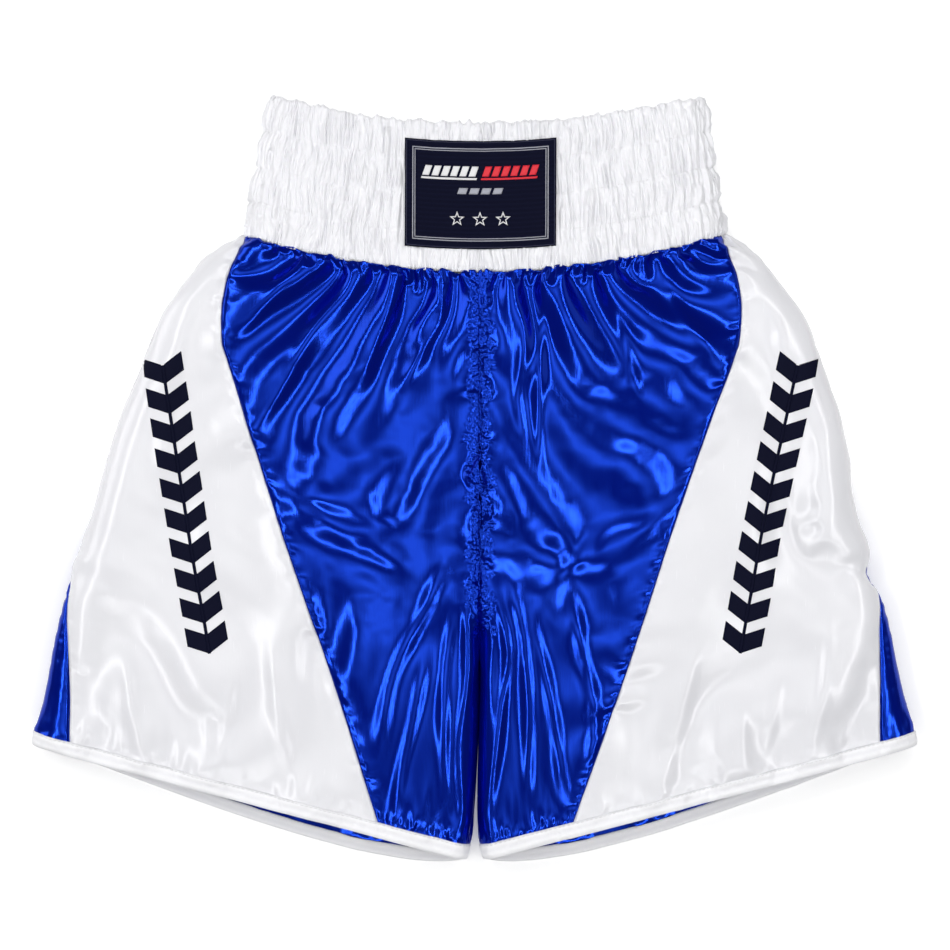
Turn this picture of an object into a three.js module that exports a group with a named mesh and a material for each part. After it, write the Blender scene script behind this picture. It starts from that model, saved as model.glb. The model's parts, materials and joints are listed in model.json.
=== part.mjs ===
// Satin boxing shorts, laid flat on their back with the front facing up.
// Millimetres. +Z is up, +Y runs from the hems to the waist, +X is towards the wearer's left.
// Left and right in the names are the wearer's. Y = 0 is first taken at the middle of the waist seam,
// and the finished group is moved so that its origin is the middle of its own box, on the ground.
import * as THREE from "three";

// ---- Driving sizes: the laid outline ----
const WAIST_SEAM_HALF = 177; // half the waistband's width at the seam to the panels
const WAIST_TOP_HALF = 161; // half its width at the top edge
const WAISTBAND_HEIGHT = 110; // up the middle of the front
const WAIST_SEAM_SAG = 27; // how far the middle of the seam hangs below its two ends
const WAIST_TOP_SAG = 21;
const FRONT_RISE = 282; // middle of the waist seam to the crotch
const INSEAM = 151; // crotch to the lower edge of the hem
const LEG_GAP_HALF = 6.3; // half the gap between the legs at the hem
const LEG_GAP_OPENING = 4; // how late the gap opens: 1 is a straight wedge from the crotch
const HEM_OUTER = new THREE.Vector2(329, -351); // outer corner of the laid hem
const HIP_POINTS = [
  [204, 10],
  [231, -22],
  [262, -100],
  [293, -215],
]; // the side fold, from the waist seam down to the hem
const BACK_DROP = 14; // how much lower the back of the hem hangs than its front
const BACK_DROP_SKEW = 0.6; // under 1 brings the lowest part of that drop nearer the inseam

// ---- Driving sizes: thickness and section ----
const LAID_HEIGHT = 30; // the legs, from the table to the front
const BAND_STEP = 2; // how far in the waistband's faces are, held flatter by its elastic
const BAND_LAID_HEIGHT = LAID_HEIGHT - 2 * BAND_STEP;
const SIDE_FOLD_REACH = 20; // how far in from the edge the side fold is rounded
const INSEAM_FOLD_REACH = 12;
const CROTCH_EASE = 45; // length over which the front dips to meet the back at the crotch
const SATIN = 1.2; // one layer of cloth with its turnings
const SEWN_GAP = 0.3; // between pieces that are sewn edge to edge or face to face

// ---- Driving sizes: panels ----
const SEAM_TOP_IN = 6; // front seam, in from the side fold at the waist, round the cloth
const SEAM_HIP_Y = -55; // where the front seam stops following the hip and runs straight
const SEAM_HIP_X = 191;
const SEAM_HEM_X = 70; // and where the straight stretch meets the lower edge of the hem
const SEAM_HEM_Y = -416;
const BACK_SEAM_AT_WAIST = -72; // back seam, behind the side fold at the waist
const BACK_SEAM_AT_HEM = 38; // and in front of it at the hem

// ---- Driving sizes: trims ----
const HEM_TAPE_WIDTH = 10.5;
const HEM_TAPE_TURN = 9; // how far the tape reaches up inside
const CHANNELS = 4; // elastic channels in the waistband
const ELASTIC_THICKNESS = 1.4;
const ELASTIC_MARGIN = 2; // from each edge of a channel to its elastic
const ELASTIC_CLEARANCE = 0.4;
const CASING_FOLD = 1.2; // thickness of cloth over the top edge
const THREAD = 0.6;
const ALLOWANCE_WIDTH = 5; // overlocked seam allowance
const ALLOWANCE_THICKNESS = 0.9;
const ALLOWANCE_START = 12; // below the waist seam
const INNER_CLEARANCE = 1.7; // behind the panels, which are flat between their facets
const LABEL_WIDTH = 112;
const LABEL_HEIGHT = 80;
const LABEL_ABOVE_SEAM = 16;
const LABEL_THICKNESS = 0.8;
const LABEL_FRAME_INSET = 6;
const LABEL_FRAME_WIDTH = 1.8;
const EMBROIDERY = 0.3; // height of stitched or printed marks
const STAR_RADIUS = 5.2;
const STAR_LINE = 0.8;
const STAR_PITCH = 17;
const STAR_ABOVE_LABEL_EDGE = 19;
const BAR_HEIGHT = 5; // label bars
const CHEVRONS = 10; // on each leg
const CHEVRON_SPINE = 2.4; // joins them into one film
const CHEVRON_WIDTH = 30;
const CHEVRON_BAND = 14;
const CHEVRON_POINT = 8;
const CHEVRON_PITCH = 22.5;
const PRINT_TOP = new THREE.Vector2(236, -62); // where the column starts and the point it runs towards
const PRINT_FOOT = new THREE.Vector2(196, -284);

// ---- Facets ----
const ROWS = 20; // down a leg panel
const FRONT_COLUMNS = 8;
const FOLD_COLUMNS = 3; // round a quarter of a fold
const SIDE_COLUMNS = 12;
const BACK_COLUMNS = 12;
const FOLD_DENSITY = 5; // how much closer together columns stand round the side fold
const BAND_FLAT_COLUMNS = 4; // across half the front or back of the waistband

// ---- Materials ----
const cloth = (color, roughness) => new THREE.MeshStandardMaterial({ color, roughness, metalness: 0 });
const blueSatin = cloth(0x0a2fb4, 0.35);
const whiteSatin = cloth(0xf0f0f3, 0.4);
const whiteTape = cloth(0xf2f2f4, 0.8);
const elasticWeb = cloth(0xe6e4dc, 0.9);
const threadWhite = cloth(0xf4f4f4, 0.7);
const threadBlue = cloth(0x0a2aa0, 0.7);
const threadNavy = cloth(0x14173c, 0.7);
const navyWeave = cloth(0x0d1030, 0.8);
const greyThread = cloth(0x9a9aa6, 0.7);
const redThread = cloth(0xe0162c, 0.6);
const navyPrint = cloth(0x10142c, 0.5);

const group = new THREE.Group();
const smooth = (a, b, x) => THREE.MathUtils.smoothstep(x, a, b);
const lerp = THREE.MathUtils.lerp;

function add(name, geometry, material) {
  const mesh = new THREE.Mesh(geometry, material);
  mesh.name = name;
  group.add(mesh);
  return mesh;
}

// ---- The laid shape of one leg, on the wearer's left; the other is its mirror image ----
const legLength = FRONT_RISE + INSEAM;
const crotchAt = FRONT_RISE / legLength;
const sideFold = new THREE.CatmullRomCurve3(
  [[WAIST_SEAM_HALF, WAIST_SEAM_SAG], ...HIP_POINTS, HEM_OUTER.toArray()].map(([x, y]) => new THREE.Vector3(x, y, 0)),
);

function innerEdge(t) {
  const below = Math.max(0, t - crotchAt) / (1 - crotchAt);
  return new THREE.Vector2(SEWN_GAP / 2 + (LEG_GAP_HALF - SEWN_GAP / 2) * below ** LEG_GAP_OPENING, -legLength * t);
}

// One row of the leg, from the middle or inseam (share 0) to the side fold (share 1).
const legRow = (t) => {
  const inner = innerEdge(t);
  const outer = sideFold.getPointAt(THREE.MathUtils.clamp(t, 0, 1));
  return {
    width: outer.distanceTo(new THREE.Vector3(inner.x, inner.y, 0)),
    height: LAID_HEIGHT,
    innerReach: INSEAM_FOLD_REACH,
    innerFold: smooth(crotchAt - CROTCH_EASE / legLength, crotchAt, t),
    plan: (share, back) => [
      lerp(inner.x, outer.x, share),
      lerp(inner.y, outer.y, (1 - t) * share ** 2 + t * share) -
        (back ? BACK_DROP * Math.sin(Math.PI * share ** BACK_DROP_SKEW) * smooth(0.6, 1, t) : 0),
    ],
  };
};

// The same for half the waistband, from its seam (t = 0) to its top edge (t = 1).
const bandRow = (t) => ({
  width: lerp(WAIST_SEAM_HALF, WAIST_TOP_HALF, t),
  height: BAND_LAID_HEIGHT,
  innerReach: 0,
  innerFold: 0,
  plan: (share) => [
    lerp(WAIST_SEAM_HALF, WAIST_TOP_HALF, t) * share,
    WAISTBAND_HEIGHT * t + lerp(WAIST_SEAM_SAG, WAIST_TOP_SAG, t) * share ** 2,
  ],
});

const quarter = (a, b) => (Math.PI / 2) * Math.sqrt((a * a + b * b) / 2);

// Lengths round the cloth at one row: across the inner fold, the flat front, and a quarter of the side fold.
function lengths(row) {
  const inner = row.innerReach ? quarter(row.innerReach, row.height / 2) : 0;
  const flat = row.width - row.innerReach - SIDE_FOLD_REACH;
  const side = quarter(SIDE_FOLD_REACH, row.height / 2);
  return { inner, flat, side, front: inner + flat + side };
}

// The cloth's outer face at a row, the length "round" from the middle of the front: past the side fold is the back.
function faceAt(rowOf, t, round) {
  const row = rowOf(t);
  const { inner, side, front } = lengths(row);
  const back = round > front;
  const along = Math.max(0, back ? 2 * front - round : round);
  let across = row.innerReach + along - inner;
  let innerRise = 1;
  let sideRise = 1;
  if (along < inner) {
    const angle = ((Math.PI / 2) * along) / inner;
    across = row.innerReach * (1 - Math.cos(angle));
    innerRise = Math.sin(angle);
  } else if (front - along < side) {
    const angle = ((Math.PI / 2) * (front - along)) / side;
    across = row.width - SIDE_FOLD_REACH * (1 - Math.cos(angle));
    sideRise = Math.sin(angle);
  }
  const rise = (row.height / 2) * (1 - row.innerFold * (1 - innerRise)) * sideRise;
  const [x, y] = row.plan(across / row.width, back);
  return new THREE.Vector3(x, y, LAID_HEIGHT / 2 + (back ? -rise : rise));
}

// A point "depth" inside the outer face.
function pointAt(rowOf, t, round, depth) {
  const step = 0.4;
  const most = 2 * lengths(rowOf(t)).front;
  const a = faceAt(rowOf, t, Math.max(0, round - step));
  const b = faceAt(rowOf, t, Math.min(most, round + step));
  const c = faceAt(rowOf, Math.min(t, Math.max(0, t - 0.002)), round);
  const d = faceAt(rowOf, Math.max(t, Math.min(1, t + 0.002)), round);
  const around = b.sub(a);
  const down = d.sub(c);
  const outward = around.cross(down).normalize();
  if (rowOf === legRow) outward.negate();
  return faceAt(rowOf, t, round).addScaledVector(outward, -depth);
}

// ---- Solids from grids of points ----
function solidFrom(points, triangles) {
  let volume = 0;
  for (const [a, b, c] of triangles) volume += points[a].dot(points[b].clone().cross(points[c]));
  const index = volume < 0 ? triangles.map(([a, b, c]) => [a, c, b]) : triangles;
  const geometry = new THREE.BufferGeometry().setFromPoints(points);
  geometry.setIndex(index.flat());
  return geometry;
}

// A sheet: at(column, row, depth) gives its points, 0 or 1 in depth for its outer or inner face.
function sheet(columns, rows, at) {
  const points = [];
  for (let face = 0; face < 2; face++)
    for (let j = 0; j <= rows; j++) for (let i = 0; i <= columns; i++) points.push(at(i, j, face));
  const id = (i, j, face) => (face * (rows + 1) + j) * (columns + 1) + i;
  const triangles = [];
  const quad = (a, b, c, d) => triangles.push([a, b, c], [a, c, d]);
  for (let j = 0; j < rows; j++)
    for (let i = 0; i < columns; i++) {
      quad(id(i, j, 0), id(i + 1, j, 0), id(i + 1, j + 1, 0), id(i, j + 1, 0));
      quad(id(i, j, 1), id(i, j + 1, 1), id(i + 1, j + 1, 1), id(i + 1, j, 1));
    }
  for (let j = 0; j < rows; j++) {
    quad(id(0, j, 0), id(0, j + 1, 0), id(0, j + 1, 1), id(0, j, 1));
    quad(id(columns, j, 0), id(columns, j, 1), id(columns, j + 1, 1), id(columns, j + 1, 0));
  }
  for (let i = 0; i < columns; i++) {
    quad(id(i, 0, 0), id(i, 0, 1), id(i + 1, 0, 1), id(i + 1, 0, 0));
    quad(id(i, rows, 0), id(i + 1, rows, 0), id(i + 1, rows, 1), id(i, rows, 1));
  }
  return solidFrom(points, triangles);
}

// A closed loop: at(station, corner) gives the corners of its section at each station round it.
function loop(stations, corners, at) {
  const points = [];
  for (let i = 0; i < stations; i++) for (let k = 0; k < corners; k++) points.push(at(i, k));
  const id = (i, k) => (i % stations) * corners + (k % corners);
  const triangles = [];
  for (let i = 0; i < stations; i++)
    for (let k = 0; k < corners; k++)
      triangles.push([id(i, k), id(i + 1, k), id(i + 1, k + 1)], [id(i, k), id(i + 1, k + 1), id(i, k + 1)]);
  return solidFrom(points, triangles);
}

const mirrored = (p, side) => (side < 0 ? p.setX(-p.x) : p);
const SIDES = [
  ["left", 1],
  ["right", -1],
];
const panelTop = SEWN_GAP / legLength;
const tapeTop = 1 - HEM_TAPE_WIDTH / legLength;
const panelFoot = tapeTop - SEWN_GAP / legLength;
const rowAt = (j, from = panelTop, to = panelFoot) => lerp(from, to, j / ROWS);

// ---- Seam lines, as lengths round the cloth ----
// The front seam follows the hip down from the side fold, then runs straight to the hem.
const hipSeam = new THREE.QuadraticBezierCurve(
  new THREE.Vector2(WAIST_SEAM_HALF, WAIST_SEAM_SAG),
  new THREE.Vector2(SEAM_HIP_X + (SEAM_HIP_X - SEAM_HEM_X) * ((SEAM_HIP_Y + 12) / SEAM_HEM_Y) * 0.3, -12),
  new THREE.Vector2(SEAM_HIP_X, SEAM_HIP_Y),
);
function frontSeamX(y) {
  if (y < SEAM_HIP_Y) return lerp(SEAM_HIP_X, SEAM_HEM_X, (y - SEAM_HIP_Y) / (SEAM_HEM_Y - SEAM_HIP_Y));
  let low = 0;
  let high = 1;
  for (let n = 0; n < 30; n++) {
    const middle = (low + high) / 2;
    if (hipSeam.getPoint(middle).y > y) low = middle;
    else high = middle;
  }
  return hipSeam.getPoint(low).x;
}

function frontSeam(t) {
  const { inner, front } = lengths(legRow(t));
  let low = inner;
  let high = front - SEAM_TOP_IN;
  for (let n = 0; n < 40; n++) {
    const middle = (low + high) / 2;
    const p = faceAt(legRow, t, middle);
    if (p.x < frontSeamX(p.y)) low = middle;
    else high = middle;
  }
  return low;
}

const backSeam = (t) => lengths(legRow(t)).front - lerp(BACK_SEAM_AT_WAIST, BACK_SEAM_AT_HEM, t);

// Stations across a panel from a to b at row t, with the folds' own stations kept.
function frontStation(i, t) {
  const { inner } = lengths(legRow(t));
  if (i <= FOLD_COLUMNS) return (inner * i) / FOLD_COLUMNS;
  return shared(inner, frontSeam(t) - SEWN_GAP / 2, (i - FOLD_COLUMNS) / FRONT_COLUMNS, t);
}

// Shares out columns from a to b, closer together round the side fold.
function shared(a, b, share, t) {
  const { front, side } = lengths(legRow(t));
  const start = front - side;
  const extra = FOLD_DENSITY - 1;
  const measure = (s) => s + extra * THREE.MathUtils.clamp(s - start, 0, 2 * side);
  const target = lerp(measure(a), measure(b), share);
  if (target <= start) return target;
  const past = start + 2 * side * FOLD_DENSITY;
  return target >= past ? target - 2 * side * extra : start + (target - start) / FOLD_DENSITY;
}

function sideStation(i, t) {
  return shared(frontSeam(t) + SEWN_GAP / 2, backSeam(t) - SEWN_GAP / 2, i / SIDE_COLUMNS, t);
}

function backStation(i, t) {
  const { inner, front } = lengths(legRow(t));
  const last = 2 * front - inner;
  if (i >= BACK_COLUMNS) return lerp(last, 2 * front, (i - BACK_COLUMNS) / FOLD_COLUMNS);
  return shared(backSeam(t) + SEWN_GAP / 2, last, i / BACK_COLUMNS, t);
}

// Front and back meet at the inseam with a sewn gap between them.
function keepApart(p, back) {
  const middle = LAID_HEIGHT / 2;
  p.z = back ? Math.min(p.z, middle - SEWN_GAP / 2) : Math.max(p.z, middle + SEWN_GAP / 2);
  return p;
}

function legPanels(name, side) {
  const panel = (columns, station, apart) =>
    sheet(columns, ROWS, (i, j, face) => {
      const t = rowAt(j);
      const p = pointAt(legRow, t, station(i, t), face * SATIN);
      return mirrored(apart ? apart(p) : p, side);
    });
  add("front_panel_" + name, panel(FRONT_COLUMNS + FOLD_COLUMNS, frontStation, (p) => keepApart(p, false)), blueSatin);
  add("side_panel_" + name, panel(SIDE_COLUMNS, sideStation), whiteSatin);
  add(
    "back_panel_" + name,
    panel(BACK_COLUMNS + FOLD_COLUMNS, backStation, (p) => (p.x < SIDE_FOLD_REACH ? keepApart(p, true) : p)),
    blueSatin,
  );
}

// ---- Hem tape: folded over the lower edge of the panels and turned up inside ----
const hemStations = [];
for (let i = 0; i < FOLD_COLUMNS; i++) hemStations.push(({ inner }) => (inner * i) / FOLD_COLUMNS);
for (let i = 0; i < FRONT_COLUMNS; i++) hemStations.push(({ inner, flat }) => inner + (flat * i) / FRONT_COLUMNS);
for (let i = 0; i <= FOLD_COLUMNS; i++)
  hemStations.push(({ inner, flat, side }) => inner + flat + (side * i) / FOLD_COLUMNS);
const hemLoop = hemStations.length * 2 - 2;

function hemRing(name, side, section, material) {
  const geometry = loop(hemLoop, section.length, (i, k) => {
    const [t, depth] = section[k];
    const l = lengths(legRow(t));
    const round = i < hemStations.length ? hemStations[i](l) : 2 * l.front - hemStations[hemLoop - i](l);
    return mirrored(pointAt(legRow, t, round, depth), side);
  });
  add(name, geometry, material);
}

function hem(name, side) {
  const outer = SEWN_GAP + THREAD;
  const inside = SATIN + INNER_CLEARANCE;
  const turnTop = 1 - HEM_TAPE_TURN / legLength;
  const tape = [
    [tapeTop, outer],
    [1, outer],
    [1, inside + SATIN],
    [turnTop, inside + SATIN],
    [turnTop, inside],
    [tapeTop, inside],
  ];
  hemRing("hem_tape_" + name, side, tape, whiteTape);
  const row = tapeTop + (2 * THREAD) / legLength;
  const thread = [
    [row, 0],
    [row + THREAD / legLength, THREAD],
    [row - THREAD / legLength, THREAD],
  ];
  hemRing("hem_stitching_" + name, side, thread, threadWhite);
}

// ---- Overlocked seam allowances, inside along each seam ----
function allowance(name, side, from, to, columnAt) {
  const outside = SATIN + INNER_CLEARANCE;
  const geometry = sheet(1, ROWS, (i, j, face) => {
    const t = lerp(from, to, j / ROWS);
    return mirrored(pointAt(legRow, t, columnAt(i, t), outside + face * ALLOWANCE_THICKNESS), side);
  });
  add(name, geometry, threadBlue);
}

// The inseam's allowance stands between front and back, just inside the fold.
function inseamAllowance(name, side, from, to) {
  const geometry = sheet(1, ROWS / 2, (i, j, face) => {
    const inner = innerEdge(lerp(from, to, (2 * j) / ROWS));
    const x = inner.x + SATIN + INNER_CLEARANCE + i * ALLOWANCE_WIDTH;
    const z = LAID_HEIGHT / 2 + (face - 0.5) * ALLOWANCE_THICKNESS;
    return mirrored(new THREE.Vector3(x, inner.y, z), side);
  });
  add(name, geometry, threadBlue);
}

// Down the middle the allowances lie flat under the front and on the back.
function middleAllowances() {
  const length = FRONT_RISE - CROTCH_EASE - 2 * ALLOWANCE_START;
  const depth = SATIN + INNER_CLEARANCE + ALLOWANCE_THICKNESS / 2;
  for (const [name, z] of [
    ["centre_front_seam_allowance", LAID_HEIGHT - depth],
    ["centre_back_seam_allowance", depth],
  ]) {
    const strip = new THREE.BoxGeometry(2 * ALLOWANCE_WIDTH, length, ALLOWANCE_THICKNESS);
    strip.translate(0, -ALLOWANCE_START - length / 2, z);
    add(name, strip, threadBlue);
  }
}

// ---- The waistband: stations round half of it, used by every loop in it ----
const bandStations = [];
for (let i = 0; i < BAND_FLAT_COLUMNS; i++) bandStations.push(({ flat }) => (flat * i) / BAND_FLAT_COLUMNS);
for (let i = 0; i <= FOLD_COLUMNS; i++) bandStations.push(({ flat, side }) => flat + (side * i) / FOLD_COLUMNS);
const quarterBand = bandStations.length - 1;
const bandLoop = 4 * quarterBand;

function bandPoint(i, t, depth) {
  const turn = Math.floor(i / quarterBand);
  const rest = i - turn * quarterBand;
  const l = lengths(bandRow(t));
  const near = turn % 2 === 0 ? bandStations[rest](l) : bandStations[quarterBand - rest](l);
  const back = turn === 1 || turn === 2;
  const p = pointAt(bandRow, t, back ? 2 * l.front - near : near, depth);
  return mirrored(p, turn >= 2 ? -1 : 1);
}

function bandBand(name, section, material) {
  add(
    name,
    loop(bandLoop, section.length, (i, k) => bandPoint(i, ...section[k])),
    material,
  );
}

const bandLift = (mm) => mm / WAISTBAND_HEIGHT;
const channel = ELASTIC_THICKNESS + 2 * ELASTIC_CLEARANCE;
const casingInside = SATIN + channel;

function waistband() {
  const foldUnder = 1 - bandLift(CASING_FOLD);
  const under = -bandLift(ALLOWANCE_WIDTH + SEWN_GAP);
  const hidden = casingInside - ALLOWANCE_THICKNESS;
  const edge = [
    [-bandLift(SEWN_GAP), hidden],
    [-bandLift(SEWN_GAP), casingInside],
    [under, casingInside],
    [under, hidden],
  ];
  bandBand("waist_seam_allowance", edge, threadWhite);
  bandBand(
    "waist_casing",
    [
      [0, 0],
      [1, 0],
      [1, casingInside + SATIN],
      [0, casingInside + SATIN],
      [0, casingInside],
      [foldUnder, casingInside],
      [foldUnder, SATIN],
      [0, SATIN],
    ],
    whiteSatin,
  );
  for (let n = 0; n < CHANNELS; n++) {
    const low = (foldUnder * n) / CHANNELS + bandLift(ELASTIC_MARGIN);
    const high = (foldUnder * (n + 1)) / CHANNELS - bandLift(ELASTIC_MARGIN);
    const outer = SATIN + ELASTIC_CLEARANCE;
    const inner = outer + ELASTIC_THICKNESS;
    const rim = [
      [low, outer],
      [high, outer],
      [high, inner],
      [low, inner],
    ];
    bandBand("elastic_band_" + (n + 1), rim, elasticWeb);
    const row = Math.max((foldUnder * n) / CHANNELS, bandLift(THREAD));
    const thread = [
      [row - bandLift(THREAD / 2), -SEWN_GAP],
      [row + bandLift(THREAD / 2), -SEWN_GAP],
      [row, -SEWN_GAP - THREAD],
    ];
    bandBand("waist_stitching_" + (n + 1), thread, threadWhite);
  }
}

// ---- Flat marks: extruded outlines lying on a face at height z ----
function plate(name, shape, z, thickness, material) {
  const geometry = new THREE.ExtrudeGeometry(shape, { depth: thickness, bevelEnabled: false, curveSegments: 8 });
  geometry.translate(0, 0, z);
  return add(name, geometry, material);
}

// The label bends with the waistband's sag, so its straight lines are drawn through this.
const labelBottom = LABEL_ABOVE_SEAM;
function onLabel(x, y) {
  const up = labelBottom + y;
  const t = up / WAISTBAND_HEIGHT;
  const sag = lerp(WAIST_SEAM_SAG, WAIST_TOP_SAG, t) * (x / lerp(WAIST_SEAM_HALF, WAIST_TOP_HALF, t)) ** 2;
  return new THREE.Vector2(x, up + sag);
}

function labelRectangle(x0, y0, x1, y1, steps = 8) {
  const corners = [];
  for (let i = 0; i <= steps; i++) corners.push(onLabel(lerp(x0, x1, i / steps), y0));
  for (let i = steps; i >= 0; i--) corners.push(onLabel(lerp(x0, x1, i / steps), y1));
  return corners;
}

function star(cx, cy, radius) {
  const corners = [];
  for (let k = 0; k < 10; k++) {
    const r = k % 2 ? radius * 0.42 : radius;
    const angle = Math.PI / 2 + (k * Math.PI) / 5;
    corners.push(onLabel(cx + r * Math.cos(angle), cy + r * Math.sin(angle)));
  }
  return corners;
}

function label() {
  const half = LABEL_WIDTH / 2;
  const bandFront = (LAID_HEIGHT + BAND_LAID_HEIGHT) / 2;
  // The lowest and highest stitching rows pass under the label, so it clears them.
  const z = bandFront + SEWN_GAP + THREAD + SEWN_GAP;
  plate("label_patch", new THREE.Shape(labelRectangle(-half, 0, half, LABEL_HEIGHT)), z, LABEL_THICKNESS, navyWeave);
  const top = z + LABEL_THICKNESS + SEWN_GAP;
  const inset = LABEL_FRAME_INSET;
  const wide = LABEL_FRAME_WIDTH;
  const frame = new THREE.Shape(labelRectangle(-half + inset, inset, half - inset, LABEL_HEIGHT - inset));
  const hole = inset + wide;
  frame.holes.push(new THREE.Path(labelRectangle(-half + hole, hole, half - hole, LABEL_HEIGHT - hole).reverse()));
  plate("label_frame", frame, top, EMBROIDERY, greyThread);
  const edging = new THREE.Shape(labelRectangle(-half + THREAD, THREAD, half - THREAD, LABEL_HEIGHT - THREAD));
  const edgingHole = 2 * THREAD;
  const within = labelRectangle(-half + edgingHole, edgingHole, half - edgingHole, LABEL_HEIGHT - edgingHole);
  edging.holes.push(new THREE.Path(within.reverse()));
  plate("label_stitching", edging, top, EMBROIDERY, threadNavy);
  const middle = LABEL_HEIGHT * 0.66;
  const reach = half - inset - 8;
  const bar = (x0, x1, y) => new THREE.Shape(labelRectangle(x0, y, x1, y + BAR_HEIGHT, 4));
  plate("label_bar_white", bar(-reach, -2, middle), top, EMBROIDERY, threadWhite);
  plate("label_bar_red", bar(2, reach, middle), top, EMBROIDERY, redThread);
  plate("label_bar_short", bar(-reach / 2, reach / 2, middle - 2.4 * BAR_HEIGHT), top, EMBROIDERY, threadWhite);
  for (let n = -1; n <= 1; n++) {
    const outline = new THREE.Shape(star(n * STAR_PITCH, STAR_ABOVE_LABEL_EDGE, STAR_RADIUS));
    outline.holes.push(new THREE.Path(star(n * STAR_PITCH, STAR_ABOVE_LABEL_EDGE, STAR_RADIUS - 2 * STAR_LINE).reverse()));
    plate("label_star_" + (n + 2), outline, top, EMBROIDERY, threadWhite);
  }
}

// ---- Leg print: a column of chevrons down the white panel, each a separate film ----
function legPrint(name, side) {
  const down = PRINT_FOOT.clone().sub(PRINT_TOP).normalize();
  const across = new THREE.Vector2(-down.y, down.x);
  const half = CHEVRON_WIDTH / 2;
  const spine = CHEVRON_SPINE / 2;
  const atSpine = CHEVRON_POINT * (1 - spine / half);
  const edge = [];
  for (let n = 0; n < CHEVRONS; n++) {
    const top = n * CHEVRON_PITCH;
    edge.push([spine, top + atSpine], [half, top], [half, top + CHEVRON_BAND], [spine, top + CHEVRON_BAND + atSpine]);
  }
  const opposite = edge.map(([a, b]) => [-a, b]).reverse();
  const outline = [...edge, ...opposite].map(([a, b]) => {
    const p = PRINT_TOP.clone().addScaledVector(across, a).addScaledVector(down, b);
    return p.setX(p.x * side);
  });
  plate("side_print_" + name, new THREE.Shape(outline), LAID_HEIGHT + SEWN_GAP, EMBROIDERY, navyPrint);
}

for (const [name, side] of SIDES) {
  legPanels(name, side);
  hem(name, side);
  legPrint(name, side);
  const from = ALLOWANCE_START / legLength;
  const to = tapeTop - (HEM_TAPE_TURN + ALLOWANCE_WIDTH) / legLength;
  const beside = (line, reach) => (i, t) => line(t) + i * reach;
  allowance("front_seam_allowance_" + name, side, from, to, beside(frontSeam, -ALLOWANCE_WIDTH));
  allowance("back_seam_allowance_" + name, side, from, to, beside(backSeam, ALLOWANCE_WIDTH));
  inseamAllowance("inseam_allowance_" + name, side, crotchAt + ALLOWANCE_START / legLength, to);
}
middleAllowances();
waistband();
label();

// ---- Origin: the middle of the box, on the ground ----
const box = new THREE.Box3().setFromObject(group);
const centre = box.getCenter(new THREE.Vector3());
group.position.set(-centre.x, -centre.y, -box.min.z);

export default group;
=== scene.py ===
# Satin boxing shorts, laid flat on their back. After the camera, the sections follow the shorts as they are
# sewn: legs, hem tapes, inner seams, waistband, label and side prints. The floor and the lights come last.
import json

import bpy
import numpy as np
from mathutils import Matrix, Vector

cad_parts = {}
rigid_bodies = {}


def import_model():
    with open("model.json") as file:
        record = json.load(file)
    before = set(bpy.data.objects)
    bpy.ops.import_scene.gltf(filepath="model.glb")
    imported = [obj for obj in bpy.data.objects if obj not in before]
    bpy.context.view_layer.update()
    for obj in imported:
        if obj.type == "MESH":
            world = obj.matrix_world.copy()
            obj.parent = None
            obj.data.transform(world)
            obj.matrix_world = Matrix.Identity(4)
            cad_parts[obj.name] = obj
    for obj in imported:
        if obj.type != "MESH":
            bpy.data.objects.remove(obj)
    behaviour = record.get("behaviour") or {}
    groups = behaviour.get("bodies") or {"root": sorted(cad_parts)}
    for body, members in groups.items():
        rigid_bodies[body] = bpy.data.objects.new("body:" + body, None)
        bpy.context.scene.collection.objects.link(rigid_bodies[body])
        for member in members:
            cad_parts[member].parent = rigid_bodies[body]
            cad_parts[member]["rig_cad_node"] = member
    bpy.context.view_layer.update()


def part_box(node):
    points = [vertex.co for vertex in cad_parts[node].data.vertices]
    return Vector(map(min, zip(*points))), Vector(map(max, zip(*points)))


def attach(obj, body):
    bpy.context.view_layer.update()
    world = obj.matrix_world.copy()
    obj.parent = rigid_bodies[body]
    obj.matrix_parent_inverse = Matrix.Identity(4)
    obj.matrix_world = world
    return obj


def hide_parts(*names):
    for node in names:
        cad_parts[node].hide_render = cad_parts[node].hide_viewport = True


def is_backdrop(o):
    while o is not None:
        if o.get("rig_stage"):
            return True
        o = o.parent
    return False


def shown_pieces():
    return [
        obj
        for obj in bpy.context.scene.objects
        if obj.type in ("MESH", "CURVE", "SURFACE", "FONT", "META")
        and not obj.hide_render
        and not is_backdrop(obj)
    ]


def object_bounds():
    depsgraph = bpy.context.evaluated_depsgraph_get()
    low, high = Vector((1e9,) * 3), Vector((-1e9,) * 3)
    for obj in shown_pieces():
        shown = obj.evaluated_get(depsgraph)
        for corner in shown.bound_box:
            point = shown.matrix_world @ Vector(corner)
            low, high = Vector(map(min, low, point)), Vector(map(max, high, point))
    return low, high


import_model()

MM = 0.001


# ==== Camera ====
# It looks straight down on the laid shorts, from far enough that the view is nearly flat.
CAMERA_HEIGHT = 1.69
CAMERA_UP = 0.0015
LENS = 85
SENSOR = 36
camera_data = bpy.data.cameras.new("camera")
camera_data.lens = LENS
camera_data.sensor_width = SENSOR
camera = bpy.data.objects.new("camera", camera_data)
bpy.context.scene.collection.objects.link(camera)
camera.location = (0, CAMERA_UP, CAMERA_HEIGHT)
bpy.context.scene.camera = camera


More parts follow.
